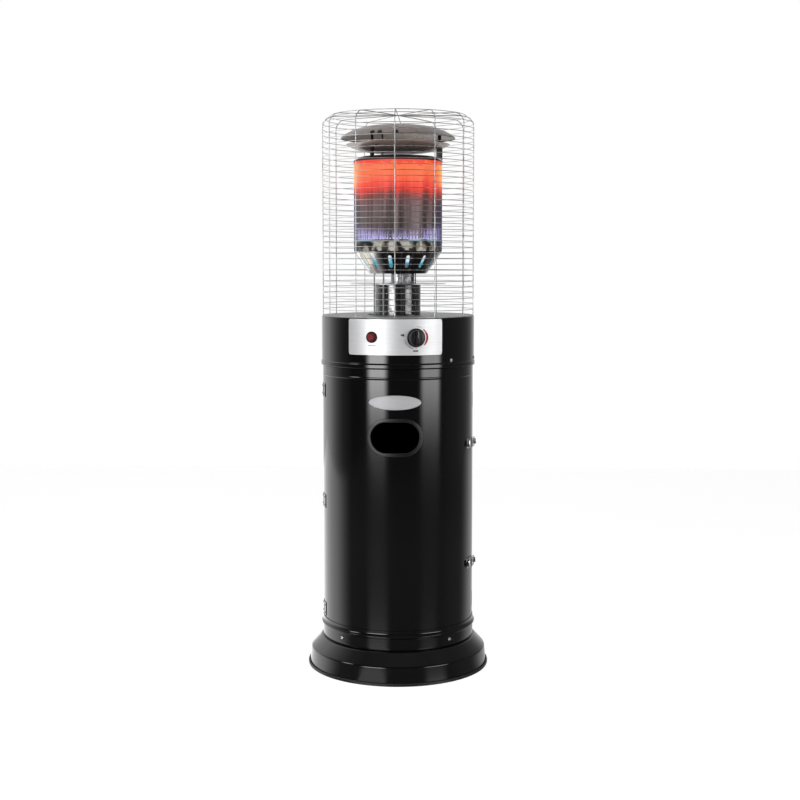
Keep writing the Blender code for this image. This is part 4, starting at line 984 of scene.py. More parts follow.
def carve(shape: Shape, cutter: Shape) -> Shape:
    """Cut one shape from another.

    Args:
        shape: the shape to cut, which is used up.
        cutter: what is cut away, also used up.

    Returns:
        What is left.
    """
    objects = []
    for part in (shape, cutter):
        mesh = bpy.data.meshes.new("carving")
        part.to_mesh(mesh)
        part.free()
        made = bpy.data.objects.new("carving", mesh)
        link(made)
        objects.append(made)
    step = objects[0].modifiers.new("cut", "BOOLEAN")
    step.operation = "DIFFERENCE"
    step.solver = "EXACT"
    step.use_self = False
    step.object = objects[1]
    result = evaluated(objects[0])
    carved = bmesh.new()
    carved.from_mesh(result)
    for made in objects:
        mesh = made.data
        bpy.data.objects.remove(made, do_unlink=True)
        bpy.data.meshes.remove(mesh)
    bpy.data.meshes.remove(result)
    return carved


def post(outline: Profile, depth: float, at: Matrix) -> Shape:
    """A cutter that goes through a wall.

    Args:
        outline: its outline, x to the left and y up as seen from outside.
        depth: how far it reaches on each side.
        at: the wall's frame.

    Returns:
        The shape.
    """
    shape = bmesh.new()
    loops = [[shape.verts.new((x, side * depth, y)) for x, y in outline] for side in (1, -1)]
    skin(shape, loops).transform(at)
    return shape


def put(
    name: str, shape: Shape, finish: Finish, body: str, *nodes: str, sharp: float = 38.0
) -> bpy.types.Object:
    """Make a piece of the heater.

    Args:
        name: its name.
        shape: its mesh, in metres in the model's frame.
        finish: its finish.
        body: the body it moves with.
        nodes: the solids it stands for.
        sharp: edges of more degrees than this stay sharp.

    Returns:
        The piece.
    """
    mesh = bpy.data.meshes.new(name)
    shape.to_mesh(mesh)
    shape.free()
    mesh.shade_smooth()
    mesh.set_sharp_from_angle(angle=math.radians(sharp))
    mesh.materials.clear()
    mesh.materials.append(finish.material())
    piece = bpy.data.objects.new(name, mesh)
    link(piece)
    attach(piece, body)
    if nodes:
        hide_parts(*nodes)
    log.info("%s: %d faces, rides on %s", name, len(mesh.polygons), body)
    return piece


# Housing


@dataclass
class Housing:
    """Base, collars, rear shell and door."""

    trim_radius: float = 0.2225
    trim_height: float = 0.0075
    trim_width: float = 0.008
    skirt_foot: tuple[float, float] = (0.2185, 0.0030)
    crease: tuple[float, float] = (0.2150, 0.0440)
    shoulder: tuple[float, float] = (0.1888, 0.0722)
    step_top: float = 0.0975
    wall: float = 0.1840
    door_span: tuple[float, float] = (0.1230, 0.7417)
    shell_span: tuple[float, float] = (0.0790, 0.7700)
    hinge_angle: float = -78.0
    latch_angle: float = 76.0
    seam: float = 0.0013
    bead_line: float = 0.7205
    collar: float = 0.1865
    lower_top: float = 0.1225
    lower_bead: float = 0.0175
    lower_bead_radius: float = 0.1895
    upper_bottom: float = 0.7432
    upper_top: float = 0.8612
    upper_bead: float = 0.0103
    upper_bead_radius: float = 0.1885
    flange: float = 0.0120
    window: tuple[float, float] = (0.1206, 0.0772)
    window_centre: float = 0.5820
    vent: tuple[float, float] = (0.009, 0.039)
    vent_heights: tuple[float, float] = (0.1630, 0.6575)
    vent_angles: tuple[float, float] = (84.0, 255.0)
    vents: int = 8
    hinge_heights: tuple[float, ...] = (0.6820, 0.4100, 0.1420)
    hinge_notch: tuple[float, float] = (0.0058, 0.0340)
    screw_head: tuple[float, float] = (0.0042, 0.0024)
    screw_heights: tuple[float, float] = (0.0920, 0.7605)

    def base(self) -> None:
        """The pressed pan and the edge trim it stands on."""
        step = self.wall - SHEET - 0.0006
        outer = fillet([
            (0.0, self.step_top), (0.160, self.step_top, 0.004), (0.166, self.step_top - 0.003, 0.004),
            (step - 0.006, self.step_top - 0.003, 0.003), (step, self.step_top - 0.006, 0.003),
            (step, self.shoulder[1], 0.001), (*self.shoulder, 0.0024), (*self.crease, 0.0026),
            self.skirt_foot,
        ])
        put("pan", lathe(sheet_loop(outer, SHEET), closed=False), GLOSS_BLACK, "housing", "base_pan")
        inner, seat = self.trim_radius - self.trim_width, self.skirt_foot[0] + CLEAR
        foot = self.skirt_foot[1] - CLEAR
        trim = fillet([
            (seat, self.trim_height, 0.0006), (self.trim_radius, self.trim_height, 0.003),
            (self.trim_radius, 0.0, 0.0025), (inner, 0.0, 0.001), (inner, foot), (seat, foot),
        ], closed=True)
        put("edge_trim", lathe(trim), RUBBER, "housing", "base_edge_trim")

    def collars(self) -> None:
        """The beaded rings under and over the door."""
        bead = self.lower_top - self.lower_bead
        neck = self.collar - 0.0008
        lower = fillet([
            (self.wall + 0.0015, self.lower_top), (self.wall + 0.0015, bead + 0.0085, 0.0030),
            (self.lower_bead_radius, bead + 0.0035, 0.0008), (self.lower_bead_radius, bead, 0.0012),
            (neck, bead - 0.0022, 0.0010), (neck, self.shoulder[1] + 0.0065, 0.0010),
            (neck - 0.0020, self.shoulder[1] + CLEAR),
        ])
        put("lower_ring", lathe(sheet_loop(lower, SHEET)), GLOSS_BLACK, "housing", "lower_collar")
        bead = self.upper_bottom + self.upper_bead
        upper = fillet([
            (self.collar - self.flange, self.upper_top), (self.collar, self.upper_top, 0.002),
            (self.collar, bead + 0.0018, 0.0012), (self.upper_bead_radius, bead - 0.0004, 0.0028),
            (self.upper_bead_radius, self.upper_bottom, 0.0030),
            (self.upper_bead_radius - 0.0030, self.upper_bottom),
        ])
        shape = lathe(sheet_loop(upper, SHEET))
        holes = [
            post(oval(size, size, steps), 0.02, wall_place(self.collar, angle, height))
            for angle, height, size, steps in (
                (ControlPanel.knob_angle, ControlPanel.knob_height, ControlPanel.knob_hole, 24),
                (ControlPanel.igniter_angle, ControlPanel.igniter_height, ControlPanel.igniter_hole, 32),
            )
        ]
        put("upper_ring", carve(shape, merged(*holes)), GLOSS_BLACK, "housing", "upper_collar")

    def notches(self) -> list[Shape]:
        """Cutters for the three hinge barrels."""
        shape = round_box(*self.hinge_notch, 0.0005)
        places = [wall_place(self.wall, self.hinge_angle, height) for height in self.hinge_heights]
        return [post(shape, 0.01, at) for at in places]

    def rear(self) -> None:
        """The fixed shell with its vents."""
        half = math.degrees(self.seam / 2 / self.wall)
        start = self.latch_angle + half
        end = 360 + self.hinge_angle - math.degrees(0.0009 / self.wall)
        low, high = self.shell_span
        section = sheet_loop([(self.wall, high), (self.wall, low)], SHEET)
        shape = lathe(section, True, 120, start, end - start)
        first, last = self.vent_angles
        cutters = self.notches()
        outline = [(y, x) for x, y in stadium(self.vent[1], self.vent[0], 8)]
        for height in self.vent_heights:
            for k in range(self.vents):
                angle = first + (last - first) * k / (self.vents - 1)
                cutters.append(post(outline, 0.01, wall_place(self.wall, angle, height)))
        put("shell", carve(shape, merged(*cutters)), GLOSS_BLACK, "housing", "rear_shell")

    def door(self) -> None:
        """The door with its pressed line and oval window hole."""
        half = math.degrees(self.seam / 2 / self.wall)
        start = self.hinge_angle + math.degrees(0.0004 / self.wall)
        end = self.latch_angle - half
        low, high = self.door_span
        wall, line, proud = self.wall, self.bead_line, self.wall + 0.0006
        outer = fillet([
            (wall, high), (wall, line + 0.0026, 0.0008), (proud, line + 0.0012, 0.0008),
            (proud, line - 0.0012, 0.0008), (wall, line - 0.0026, 0.0008), (wall, low),
        ], steps=3)
        shape = lathe(sheet_loop(outer, SHEET), True, 104, start, end - start)
        hole = post(stadium(*self.window, 20), 0.03, wall_place(self.wall, 0.0, self.window_centre))
        put("door", carve(shape, merged(hole, *self.notches())), GLOSS_BLACK, "door", "front_door")

    def screws(self) -> None:
        """Pan-head screws with a cross recess, two seen in front and more at the back."""
        lower, upper = self.screw_heights
        places = [
            ("lower_screw_left", -43.5, lower, "lower_collar_screw_left"),
            ("lower_screw_right", 43.5, lower, "lower_collar_screw_right"),
            ("lower_screw_rear_left", -137.0, lower),
            ("lower_screw_rear_right", 137.0, lower),
            ("upper_screw_front", 44.5, upper, "upper_collar_screw_front"),
            ("upper_screw_side", 82.0, upper, "upper_collar_screw_side"),
            ("upper_screw_rear_left", -137.0, upper),
            ("upper_screw_rear_right", 137.0, upper),
        ]
        for name, angle, height, *nodes in places:
            place_at = wall_place(self.collar + 0.0001, angle, height) @ OUTWARD
            put(name, screw(*self.screw_head, place_at), SCREW_ZINC, "housing", *nodes)

    def build(self) -> None:
        """Make the housing."""
        self.base()
        self.collars()
        self.rear()
        self.door()
        self.screws()


def screw(radius: float, height: float, at: Matrix) -> Shape:
    """A domed screw head with a cross recess.

    Args:
        radius: its radius.
        height: its height.
        at: the frame whose XY it sits on.

    Returns:
        The shape.
    """
    dome = fillet([
        (0.0, height), (radius * 0.6, height * 0.92, radius * 0.3), (radius, height * 0.35, radius * 0.2),
        (radius, 0.0), (0.0, 0.0),
    ], steps=5)
    head = lathe(dome, closed=False, segments=32)
    arm, half, deep = radius * 0.62, radius * 0.13, height * 0.45
    cross = [
        (half, arm), (-half, arm), (-half, half), (-arm, half), (-arm, -half), (-half, -half),
        (-half, -arm), (half, -arm), (half, -half), (arm, -half), (arm, half), (half, half),
    ]
    cutter = bmesh.new()
    loops = [[cutter.verts.new((x, y, z)) for x, y in cross] for z in (height * 1.2, deep)]
    shape = carve(head, skin(cutter, loops))
    shape.transform(at)
    return shape


def rivet(radius: float, height: float, at: Matrix) -> Shape:
    """A small domed rivet head.

    Args:
        radius: its radius.
        height: its height.
        at: the frame whose XY it sits on.

    Returns:
        The shape.
    """
    turns = [math.radians(degrees) for degrees in (25, 45, 65, 80, 90)]
    dome = [(radius * math.sin(turn), height * math.cos(turn)) for turn in turns]
    shape = lathe([(0.0, height), *dome, (0.0, 0.0)], closed=False, segments=20)
    shape.transform(at)
    return shape


# Pieces on the door


class LeafSide(Enum):
    """A hinge's two leaves, and the way that each runs from the barrel."""

    DOOR = -1
    SHELL = 1


@dataclass
class DoorFittings:
    """Window trim, bare oval plate, hinges and latches."""

    wall: float = 0.1840
    window: tuple[float, float] = (0.1160, 0.0726)
    window_centre: float = 0.5820
    neck: float = 0.0020
    lip: float = 0.0087
    proud: float = 0.0020
    plate: tuple[float, float] = (0.1250, 0.0340)
    plate_centre: float = 0.6645
    plate_thickness: float = 0.0010
    hinge_angle: float = -78.0
    hinge_heights: tuple[tuple[str, float], ...] = (("top", 0.6820), ("middle", 0.4100), ("bottom", 0.1420))
    hinge_length: float = 0.0330
    leaf: tuple[float, float] = (0.0240, 0.0010)
    barrel: float = 0.0025
    relief: float = 0.0039
    latch_heights: tuple[tuple[str, float], ...] = (("upper", 0.5550), ("lower", 0.2605))
    pivot_angle: float = 74.3
    pivot_stand: float = 0.0055
    lever: tuple[float, float] = (0.0245, 0.0160)
    latch_angle: float = 76.0
    plate_height: float = 0.0240
    bail_pivot: float = 0.0052
    bail_radius: float = 0.0010
    bail_arm: float = 0.0110
    bail_angle: float = 84.3
    bail_stand: float = 0.0045
    catch: tuple[float, float, float] = (0.0110, 0.0140, 0.0095)

    def window_trim(self) -> None:
        """The moulded ring in the door's oval hole."""
        width, height = self.window
        back, seat, front = -SHEET - 0.0015, CLEAR, CLEAR + self.proud
        section = fillet([
            (0.0, back), (0.0, front, 0.0012), (self.lip, front - 0.0002, 0.0016), (self.lip, seat),
            (self.neck, seat), (self.neck, back),
        ], closed=True, steps=5)
        shape = bmesh.new()
        rings = []
        for grow, stand in section:
            points = []
            base = stadium(width + 2 * grow, height + 2 * grow, 24)
            half = len(base) // 2
            for side in (0, 1):
                arc_points = base[side * half:(side + 1) * half]
                points += arc_points
                (x0, y0), (x1, y1) = arc_points[-1], base[(side + 1) * half % len(base)]
                points += [(x0 + (x1 - x0) * k / 10, y0 + (y1 - y0) * k / 10) for k in range(1, 10)]
            radius = self.wall + stand
            rings.append([
                shape.verts.new(polar(radius, math.degrees(x / self.wall), self.window_centre + z))
                for x, z in points
            ])
        skin(shape, rings, around=True, ends=False)
        put("window_ring", shape, BLACK_PLASTIC, "door", "window_trim")

    def oval_plate(self) -> None:
        """The oval plate over the window, left bare, with a raised rim."""
        sheet = flat_sheet(oval(*self.plate), self.plate_thickness, 0.00035)
        shape = bend(sheet, self.wall + CLEAR, 0.0, self.plate_centre)
        put("oval_plate", shape, ALUMINIUM_SHEET, "door", "badge_plate")
        width, height = self.plate
        top = self.wall + CLEAR + self.plate_thickness
        route = [
            polar(top, math.degrees(x / self.wall), self.plate_centre + y)
            for x, y in oval(width - 0.004, height - 0.004, 96)
        ]
        put("oval_plate_rim", tube(route, 0.00045, 8, True), ALUMINIUM_SHEET, "door")

    def hinge_leaf(self, height: float, side: LeafSide) -> Shape:
        """A leaf with its barrel and rivets.

        Args:
            height: the hinge's middle.
            side: which leaf.

        Returns:
            The shape.
        """
        width, thick = self.leaf
        third = self.hinge_length / 3
        near, gap = 0.0002, self.relief
        full, short = self.hinge_length / 2, third / 2 + CLEAR / 2
        if side is LeafSide.SHELL:
            outline = [
                (near, -short), (near, short), (gap, short), (gap, full),
                (width, full), (width, -full), (gap, -full), (gap, -short),
            ]
            spans = [(-third / 2 + CLEAR / 2, third / 2 - CLEAR / 2)]
        else:
            outline = [
                (near, -full), (near, -short), (gap, -short), (gap, short),
                (near, short), (near, full), (width, full), (width, -full),
            ]
            spans = [(-full, -short), (short, full)]
        outline = fillet([(-side.value * x, y, 0.0012) for x, y in outline], True, 3)
        leaf = bend(flat_sheet(outline, thick, EDGE), self.wall + CLEAR, self.hinge_angle, height, 0.003)
        shapes = [leaf]
        pivot = wall_place(self.wall - SHEET / 2, self.hinge_angle, height)
        for low, high in spans:
            profile = fillet([
                (self.barrel, high, 0.0003), (self.barrel, low, 0.0003), (0.0013, low), (0.0013, high),
            ], True, 3)
            barrel = lathe(profile, True, 32)
            barrel.transform(pivot)
            shapes.append(barrel)
        for up in (-0.0095, 0.0095):
            angle = self.hinge_angle - side.value * math.degrees(0.0155 / self.wall)
            place_at = wall_place(self.wall + CLEAR + thick, angle, height + up) @ OUTWARD
            shapes.append(rivet(0.0022, 0.0011, place_at))
        return merged(*shapes)

    def hinges(self) -> None:
        """Three riveted butt hinges."""
        for name, height in self.hinge_heights:
            for side, body in ((LeafSide.DOOR, "door"), (LeafSide.SHELL, "housing")):
                label = side.name.lower()
                leaf = self.hinge_leaf(height, side)
                put(f"{name}_hinge_{label}_side", leaf, GLOSS_BLACK, body, f"hinge_{name}_{label}_leaf")
            half = self.hinge_length / 2
            pin = lathe(fillet([
                (0.0, half + 0.0002), (0.0012, half, 0.0004), (0.0012, -half, 0.0004), (0.0, -half),
            ], steps=3), False, 24)
            pin.transform(wall_place(self.wall - SHEET / 2, self.hinge_angle, height))
            put(f"{name}_hinge_rod", pin, ZINC, "housing", f"hinge_{name}_pin")

    def latch(self, name: str, height: float) -> None:
        """One toggle latch: plate with ears, lever, bail and catch.

        Args:
            name: upper or lower.
            height: the height of its middle.
        """
        stand = self.pivot_stand
        radius = self.wall + stand
        pivot = wall_place(radius, self.pivot_angle, height)
        length, tall = self.lever
        thick = self.leaf[1]
        left = self.pivot_angle - math.degrees(length / self.wall)
        right = self.latch_angle - math.degrees(0.0012 / self.wall)
        width = math.radians(right - left) * self.wall
        sheet = flat_sheet(round_box(width, self.plate_height, 0.002), thick, EDGE)
        plate = bend(sheet, self.wall + CLEAR, (left + right) / 2, height, 0.003)
        inner = tall / 2 + CLEAR
        shapes = [plate]
        ear = fillet([
            (-0.0026, -stand + thick), (-0.0026, 0.0, 0.0018), (0.0, 0.0028, 0.0018),
            (0.0026, 0.0, 0.0018), (0.0026, -stand + thick),
        ], steps=5)
        for side in (1, -1):
            at = pivot @ Matrix.Translation((0.0, 0.0, side * (inner + 0.0006)))
            shapes.append(bar(ear, 0.0012, EDGE, at))
            head = pivot @ Matrix.Translation((0.0, 0.0, side * (inner + 0.0012)))
            if side < 0:
                head = head @ Matrix.Rotation(math.pi, 4, "X")
            shapes.append(rivet(0.0017, 0.0007, head))
        pin = lathe([(0.0, inner), (0.001, inner), (0.001, -inner), (0.0, -inner)], False, 20)
        pin.transform(pivot)
        shapes.append(pin)
        angle = left + math.degrees(0.004 / self.wall)
        for up in (-0.008, 0.008):
            place_at = wall_place(self.wall + CLEAR + thick, angle, height + up) @ OUTWARD
            shapes.append(rivet(0.0018, 0.0009, place_at))
        lever, bail = f"latch_{name}_lever", f"latch_{name}_bail"
        put(f"{name}_latch_base", merged(*shapes), ZINC, "door", f"latch_{name}_plate")
        put(f"{name}_latch_handle", self.lever_shape(pivot), ZINC, lever, lever)
        put(f"{name}_latch_loop", self.bail_shape(pivot, radius), ZINC, bail, bail)
        put(f"{name}_latch_hook", self.catch_shape(height), ZINC, "housing", f"latch_{name}_catch")

    def lever_shape(self, pivot: Matrix) -> Shape:
        """The lever: a curved pressed handle rolled round the pin.

        Args:
            pivot: the pin's frame.

        Returns:
            The shape.
        """
        length, tall = self.lever
        stations = [
            (self.bail_pivot, 0.0, 0.0024), (0.0078, -0.0002, 0.0017), (0.0105, -0.0008, 0.0011),
            (0.0140, -0.0011, 0.0009), (0.0190, -0.0014, 0.0008), (length - 0.0012, -0.0008, 0.0008),
            (length, 0.0, 0.0006),
        ]
        top = [(x, y + half) for x, y, half in stations]
        bottom = [(x, y - half) for x, y, half in stations]
        turns = [math.radians(degrees) for degrees in range(90, 271, 20)]
        roll = [(0.0026 * math.cos(turn), 0.0026 * math.sin(turn)) for turn in turns]
        return bar([*roll, *bottom, *reversed(top)], tall, 0.0003, pivot)

    def bail_shape(self, pivot: Matrix, radius: float) -> Shape:
        """The bent wire loop from the lever to the catch.

        Args:
            pivot: the lever's pin's frame.
            radius: the pin's distance from the body's axis.

        Returns:
            The shape.
        """
        across = math.radians(self.bail_angle - self.pivot_angle)
        bar_radius = self.wall + self.bail_stand
        far = Vector((-bar_radius * math.sin(across), bar_radius * math.cos(across) - radius, 0.0))
        near = Vector((self.bail_pivot, 0.0, 0.0))
        up = Vector((0.0, 0.0, 1.0))
        step = (far - near).normalized()
        half = [near + up * 0.0043, near + up * (self.bail_arm - 0.0025)]
        half += [
            near + up * self.bail_arm + Vector(step) * 0.0025 * t - up * 0.0025 * (1 - t) ** 2
            for t in (0.3, 0.65, 1.0)
        ]
        half += [
            far + up * self.bail_arm - step * 0.0025 * (1 - t) - up * 0.0025 * t**2 for t in (0.0, 0.35, 0.7)
        ]
        half.append(far + up * (self.bail_arm - 0.0025))
        points = half + [Vector((p.x, p.y, -p.z)) for p in reversed(half)]
        shape = tube(points, self.bail_radius, 12)
        shape.transform(pivot)
        return shape

    def catch_shape(self, height: float) -> Shape:
        """The hooked plate on the shell.

        Args:
            height: the latch's middle.

        Returns:
            The shape.
        """
        width, tall, lip = self.catch
        thick = self.leaf[1]
        sheet = flat_sheet(round_box(2 * width, tall, 0.0018), thick, EDGE)
        plate = bend(sheet, self.wall + CLEAR, self.bail_angle, height, 0.003)
        frame_at = wall_place(self.wall + self.bail_stand, self.bail_angle, height)
        foot, top = -self.bail_stand + CLEAR, lip - self.bail_stand
        x, half = self.bail_radius + CLEAR + 0.00075, 0.0007
        upright = fillet([
            (x + half, foot), (x + half, top - 0.0008, 0.0006), (x, top, 0.0006),
            (x - half, top - 0.0008, 0.0006), (x - half, foot),
        ], steps=3)
        shapes = [plate, bar(upright, tall - 0.001, EDGE, frame_at)]
        angle = self.bail_angle + math.degrees(0.0066 / self.wall)
        for up in (-0.0042, 0.0042):
            place_at = wall_place(self.wall + CLEAR + thick, angle, height + up) @ OUTWARD
            shapes.append(rivet(0.0016, 0.0008, place_at))
        return merged(*shapes)

    def build(self) -> None:
        """Make the fittings."""
        self.window_trim()
        self.oval_plate()
        self.hinges()
        for name, height in self.latch_heights:
            self.latch(name, height)


# Control panel


@dataclass
class ControlPanel:
    """Curved panel with the knob, its marks and the igniter."""

    collar: float = 0.1865
    low: float = 0.7755
    high: float = 0.8595
    half_angle: float = 35.7
    thickness: float = 0.0010
    corner: float = 0.0060
    knob_angle: float = 15.0
    knob_height: float = 0.8165
    knob_radius: float = 0.0218
    knob_skirt: float = 0.0040
    knob_body: float = 0.0130
    knob_gap: float = 0.0036
    knob_hole: float = 0.009
    flutes: int = 24
    ridge: tuple[float, float] = (0.0085, 0.0070)
    igniter_angle: float = -16.7
    igniter_height: float = 0.8175
    igniter_hole: float = 0.0216
    flange: tuple[float, float] = (0.0135, 0.0030)
    button: tuple[float, float] = (0.0086, 0.0060)

    @property
    def front(self) -> float:
        """Radius of the panel's outer face."""
        return self.collar + CLEAR + self.thickness

    def panel(self) -> None:
        """The brushed plate with its two holes."""
        width = 2 * math.radians(self.half_angle) * self.collar
        middle = (self.low + self.high) / 2
        holes = []
        for angle, height, size in (
            (self.knob_angle, self.knob_height, self.knob_hole),
            (self.igniter_angle, self.igniter_height, self.igniter_hole),
        ):
            x = math.radians(angle) * self.collar
            holes.append([(x + px, height - middle + py) for px, py in oval(size, size, 32)])
        sheet = flat_sheet(round_box(width, self.high - self.low, self.corner), self.thickness, EDGE, holes)
        shape = bend(sheet, self.collar + CLEAR, 0.0, middle)
        put("panel", shape, BRUSHED_STEEL, "housing", "control_panel")

    def knob(self) -> None:
        """The knob: a skirt, a fluted body and a grip ridge with a pale pointer."""
        back = self.front - self.collar + self.knob_gap
        face = back + self.knob_skirt + self.knob_body
        at = wall_place(self.collar, self.knob_angle, self.knob_height)
        rim = back + self.knob_skirt
        skirt = lathe(fillet([
            (0.0, rim), (self.knob_radius - 0.0012, rim, 0.001), (self.knob_radius, rim - 0.0014, 0.001),
            (self.knob_radius, back, 0.0004), (0.0032, back), (0.0032, back + 0.002),
        ], steps=4), False, 96)
        outer = self.knob_radius * 0.88
        body = bmesh.new()
        levels = [
            (rim - 0.0005, outer, 0.0007), (face - 0.0035, outer * 0.965, 0.0007),
            (face - 0.0016, outer * 0.945, 0.0005), (face - 0.0004, outer * 0.90, 0.0002),
            (face, outer * 0.86, 0.0), (face + 0.0002, outer * 0.5, 0.0),
        ]
        turns = [2 * math.pi * k / (self.flutes * 8) for k in range(self.flutes * 8)]
        rings = []
        for height, radius, deep in levels:
            ring = []
            for turn in turns:
                reach = radius - deep * (0.5 - 0.5 * math.cos(self.flutes * turn)) ** 2
                ring.append(body.verts.new((reach * math.cos(turn), reach * math.sin(turn), height)))
            rings.append(ring)
        skin(body, rings, ends=False)
        body.faces.new(rings[-1])
        face_out(body)
        width, rise = self.ridge
        top = face + rise
        long = self.knob_radius * 0.79
        side = fillet([
            (-long, face - 0.004), (-long, top - 0.002, 0.003), (-long + 0.004, top, 0.003),
            (long - 0.004, top, 0.003), (long, top - 0.002, 0.003), (long, face - 0.004),
        ], steps=5)
        grip_at = Matrix.Rotation(math.radians(90), 4, "Z") @ Matrix.Rotation(math.radians(90), 4, "X")
        grip = bar(side, width, 0.0012, grip_at)
        for vert in grip.verts:
            vert.co.x *= 1.0 - 0.22 * (1.0 - (vert.co.y / long) ** 2)
        whole = merged(skirt, body, grip)
        whole.transform(at @ OUTWARD)
        put("knob_grip", whole, BLACK_PLASTIC, "knob", "control_knob")
        line_at = Matrix.Translation((0.0, -long * 0.5, top))
        line = bar(round_box(0.0016, long * 0.92, 0.0007), 0.0006, 0.00015, line_at)
        line.transform(at @ OUTWARD)
        put("knob_pointer", line, MARK_PALE, "knob")

    def marks(self) -> None:
        """Printed marks round the knob: a swelling red arc, a thin grey one and ticks."""

        def crescent(first: float, last: float, inner: float, wide: Callable[[float], float]) -> Profile:
            """An arc.

            Args:
                first: the angle that it starts at.
                last: the angle that it ends at.
                inner: its inner radius.
                wide: its width by how far along it is, from 0 to 1.

            Returns:
                The outline's points.
            """
            steps = 36
            turns = [math.radians(first + (last - first) * k / steps) for k in range(steps + 1)]
            low = [(inner * math.cos(t), inner * math.sin(t)) for t in turns]
            high = [
                ((inner + wide(k / steps)) * math.cos(t), (inner + wide(k / steps)) * math.sin(t))
                for k, t in enumerate(turns)
            ]
            return low + high[::-1]

        centre = math.radians(self.knob_angle) * self.collar
        beside = math.radians(self.igniter_angle) * self.collar - centre
        left, right = beside - 0.0095, beside + 0.0095
        drawings = [
            ("dial_red_arc", MARK_RED, [
                crescent(46, -40, 0.0258, lambda t: 0.0020 + 0.0028 * math.sin(math.pi * t) + 0.0008 * t),
            ]),
            ("dial_grey_marks", MARK_GREY, [
                crescent(192, 258, 0.0258, lambda t: 0.0010),
                crescent(58, 84, 0.0262, lambda t: 0.0008),
                [(-0.0352, 0.0052), (-0.0268, 0.0026), (-0.0268, 0.0090), (-0.0352, 0.0074)],
                [(-0.0062, -0.0325), (0.0062, -0.0325), (0.0062, -0.0293), (-0.0062, -0.0293)],
                [(left, -0.0192), (right, -0.0192), (right, -0.0178), (left, -0.0178)],
            ]),
        ]
        for name, finish, outlines in drawings:
            sheets = []
            for outline in outlines:
                moved = [(centre + x, self.knob_height - self.igniter_height + y) for x, y in outline]
                sheet = flat_sheet(moved, 0.00012, 0.00002)
                sheets.append(bend(sheet, self.front + 0.00001, 0.0, self.igniter_height, 0.003))
            put(name, merged(*sheets), finish, "housing")

    def igniter(self) -> None:
        """The igniter's bezel and push button."""
        at = wall_place(self.collar, self.igniter_angle, self.igniter_height) @ OUTWARD
        radius, thick = self.flange
        seat = self.front - self.collar + CLEAR
        face = seat + thick
        mouth, bore, barrel, back, floor = 0.0094, 0.0090, 0.0105, -0.0400, -0.0380
        body = fillet([
            (mouth, face - 0.0012), (mouth, face, 0.0006), (radius, face - 0.0004, 0.0016),
            (radius, seat, 0.0002), (barrel, seat), (barrel, back, 0.001), (0.0, back),
        ], steps=4)
        inside = [(mouth, face - 0.0012), (bore, face - 0.0030), (bore, floor), (0.0, floor)]
        whole = merged(lathe(body, False, 72), lathe(inside, False, 72))
        bmesh.ops.remove_doubles(whole, verts=whole.verts, dist=1e-6)
        face_out(whole).transform(at)
        put("igniter_bezel", whole, BEZEL_RED, "housing", "igniter_body")
        size, proud = self.button
        tip = face + proud
        cap = fillet([
            (0.0, tip - 0.0009), (size * 0.45, tip - 0.0006, 0.002), (size * 0.74, tip, 0.0012),
            (size, tip - 0.0014, 0.0012), (size, tip - 0.0260), (0.0, tip - 0.0260),
        ], steps=5)
        button = lathe(cap, False, 64)
        button.transform(at)
        put("igniter_push_button", button, BUTTON_RED, "igniter_button", "igniter_button")

    def build(self) -> None:
        """Make the panel."""
        self.panel()
        self.knob()
        self.marks()
        self.igniter()


# Burner


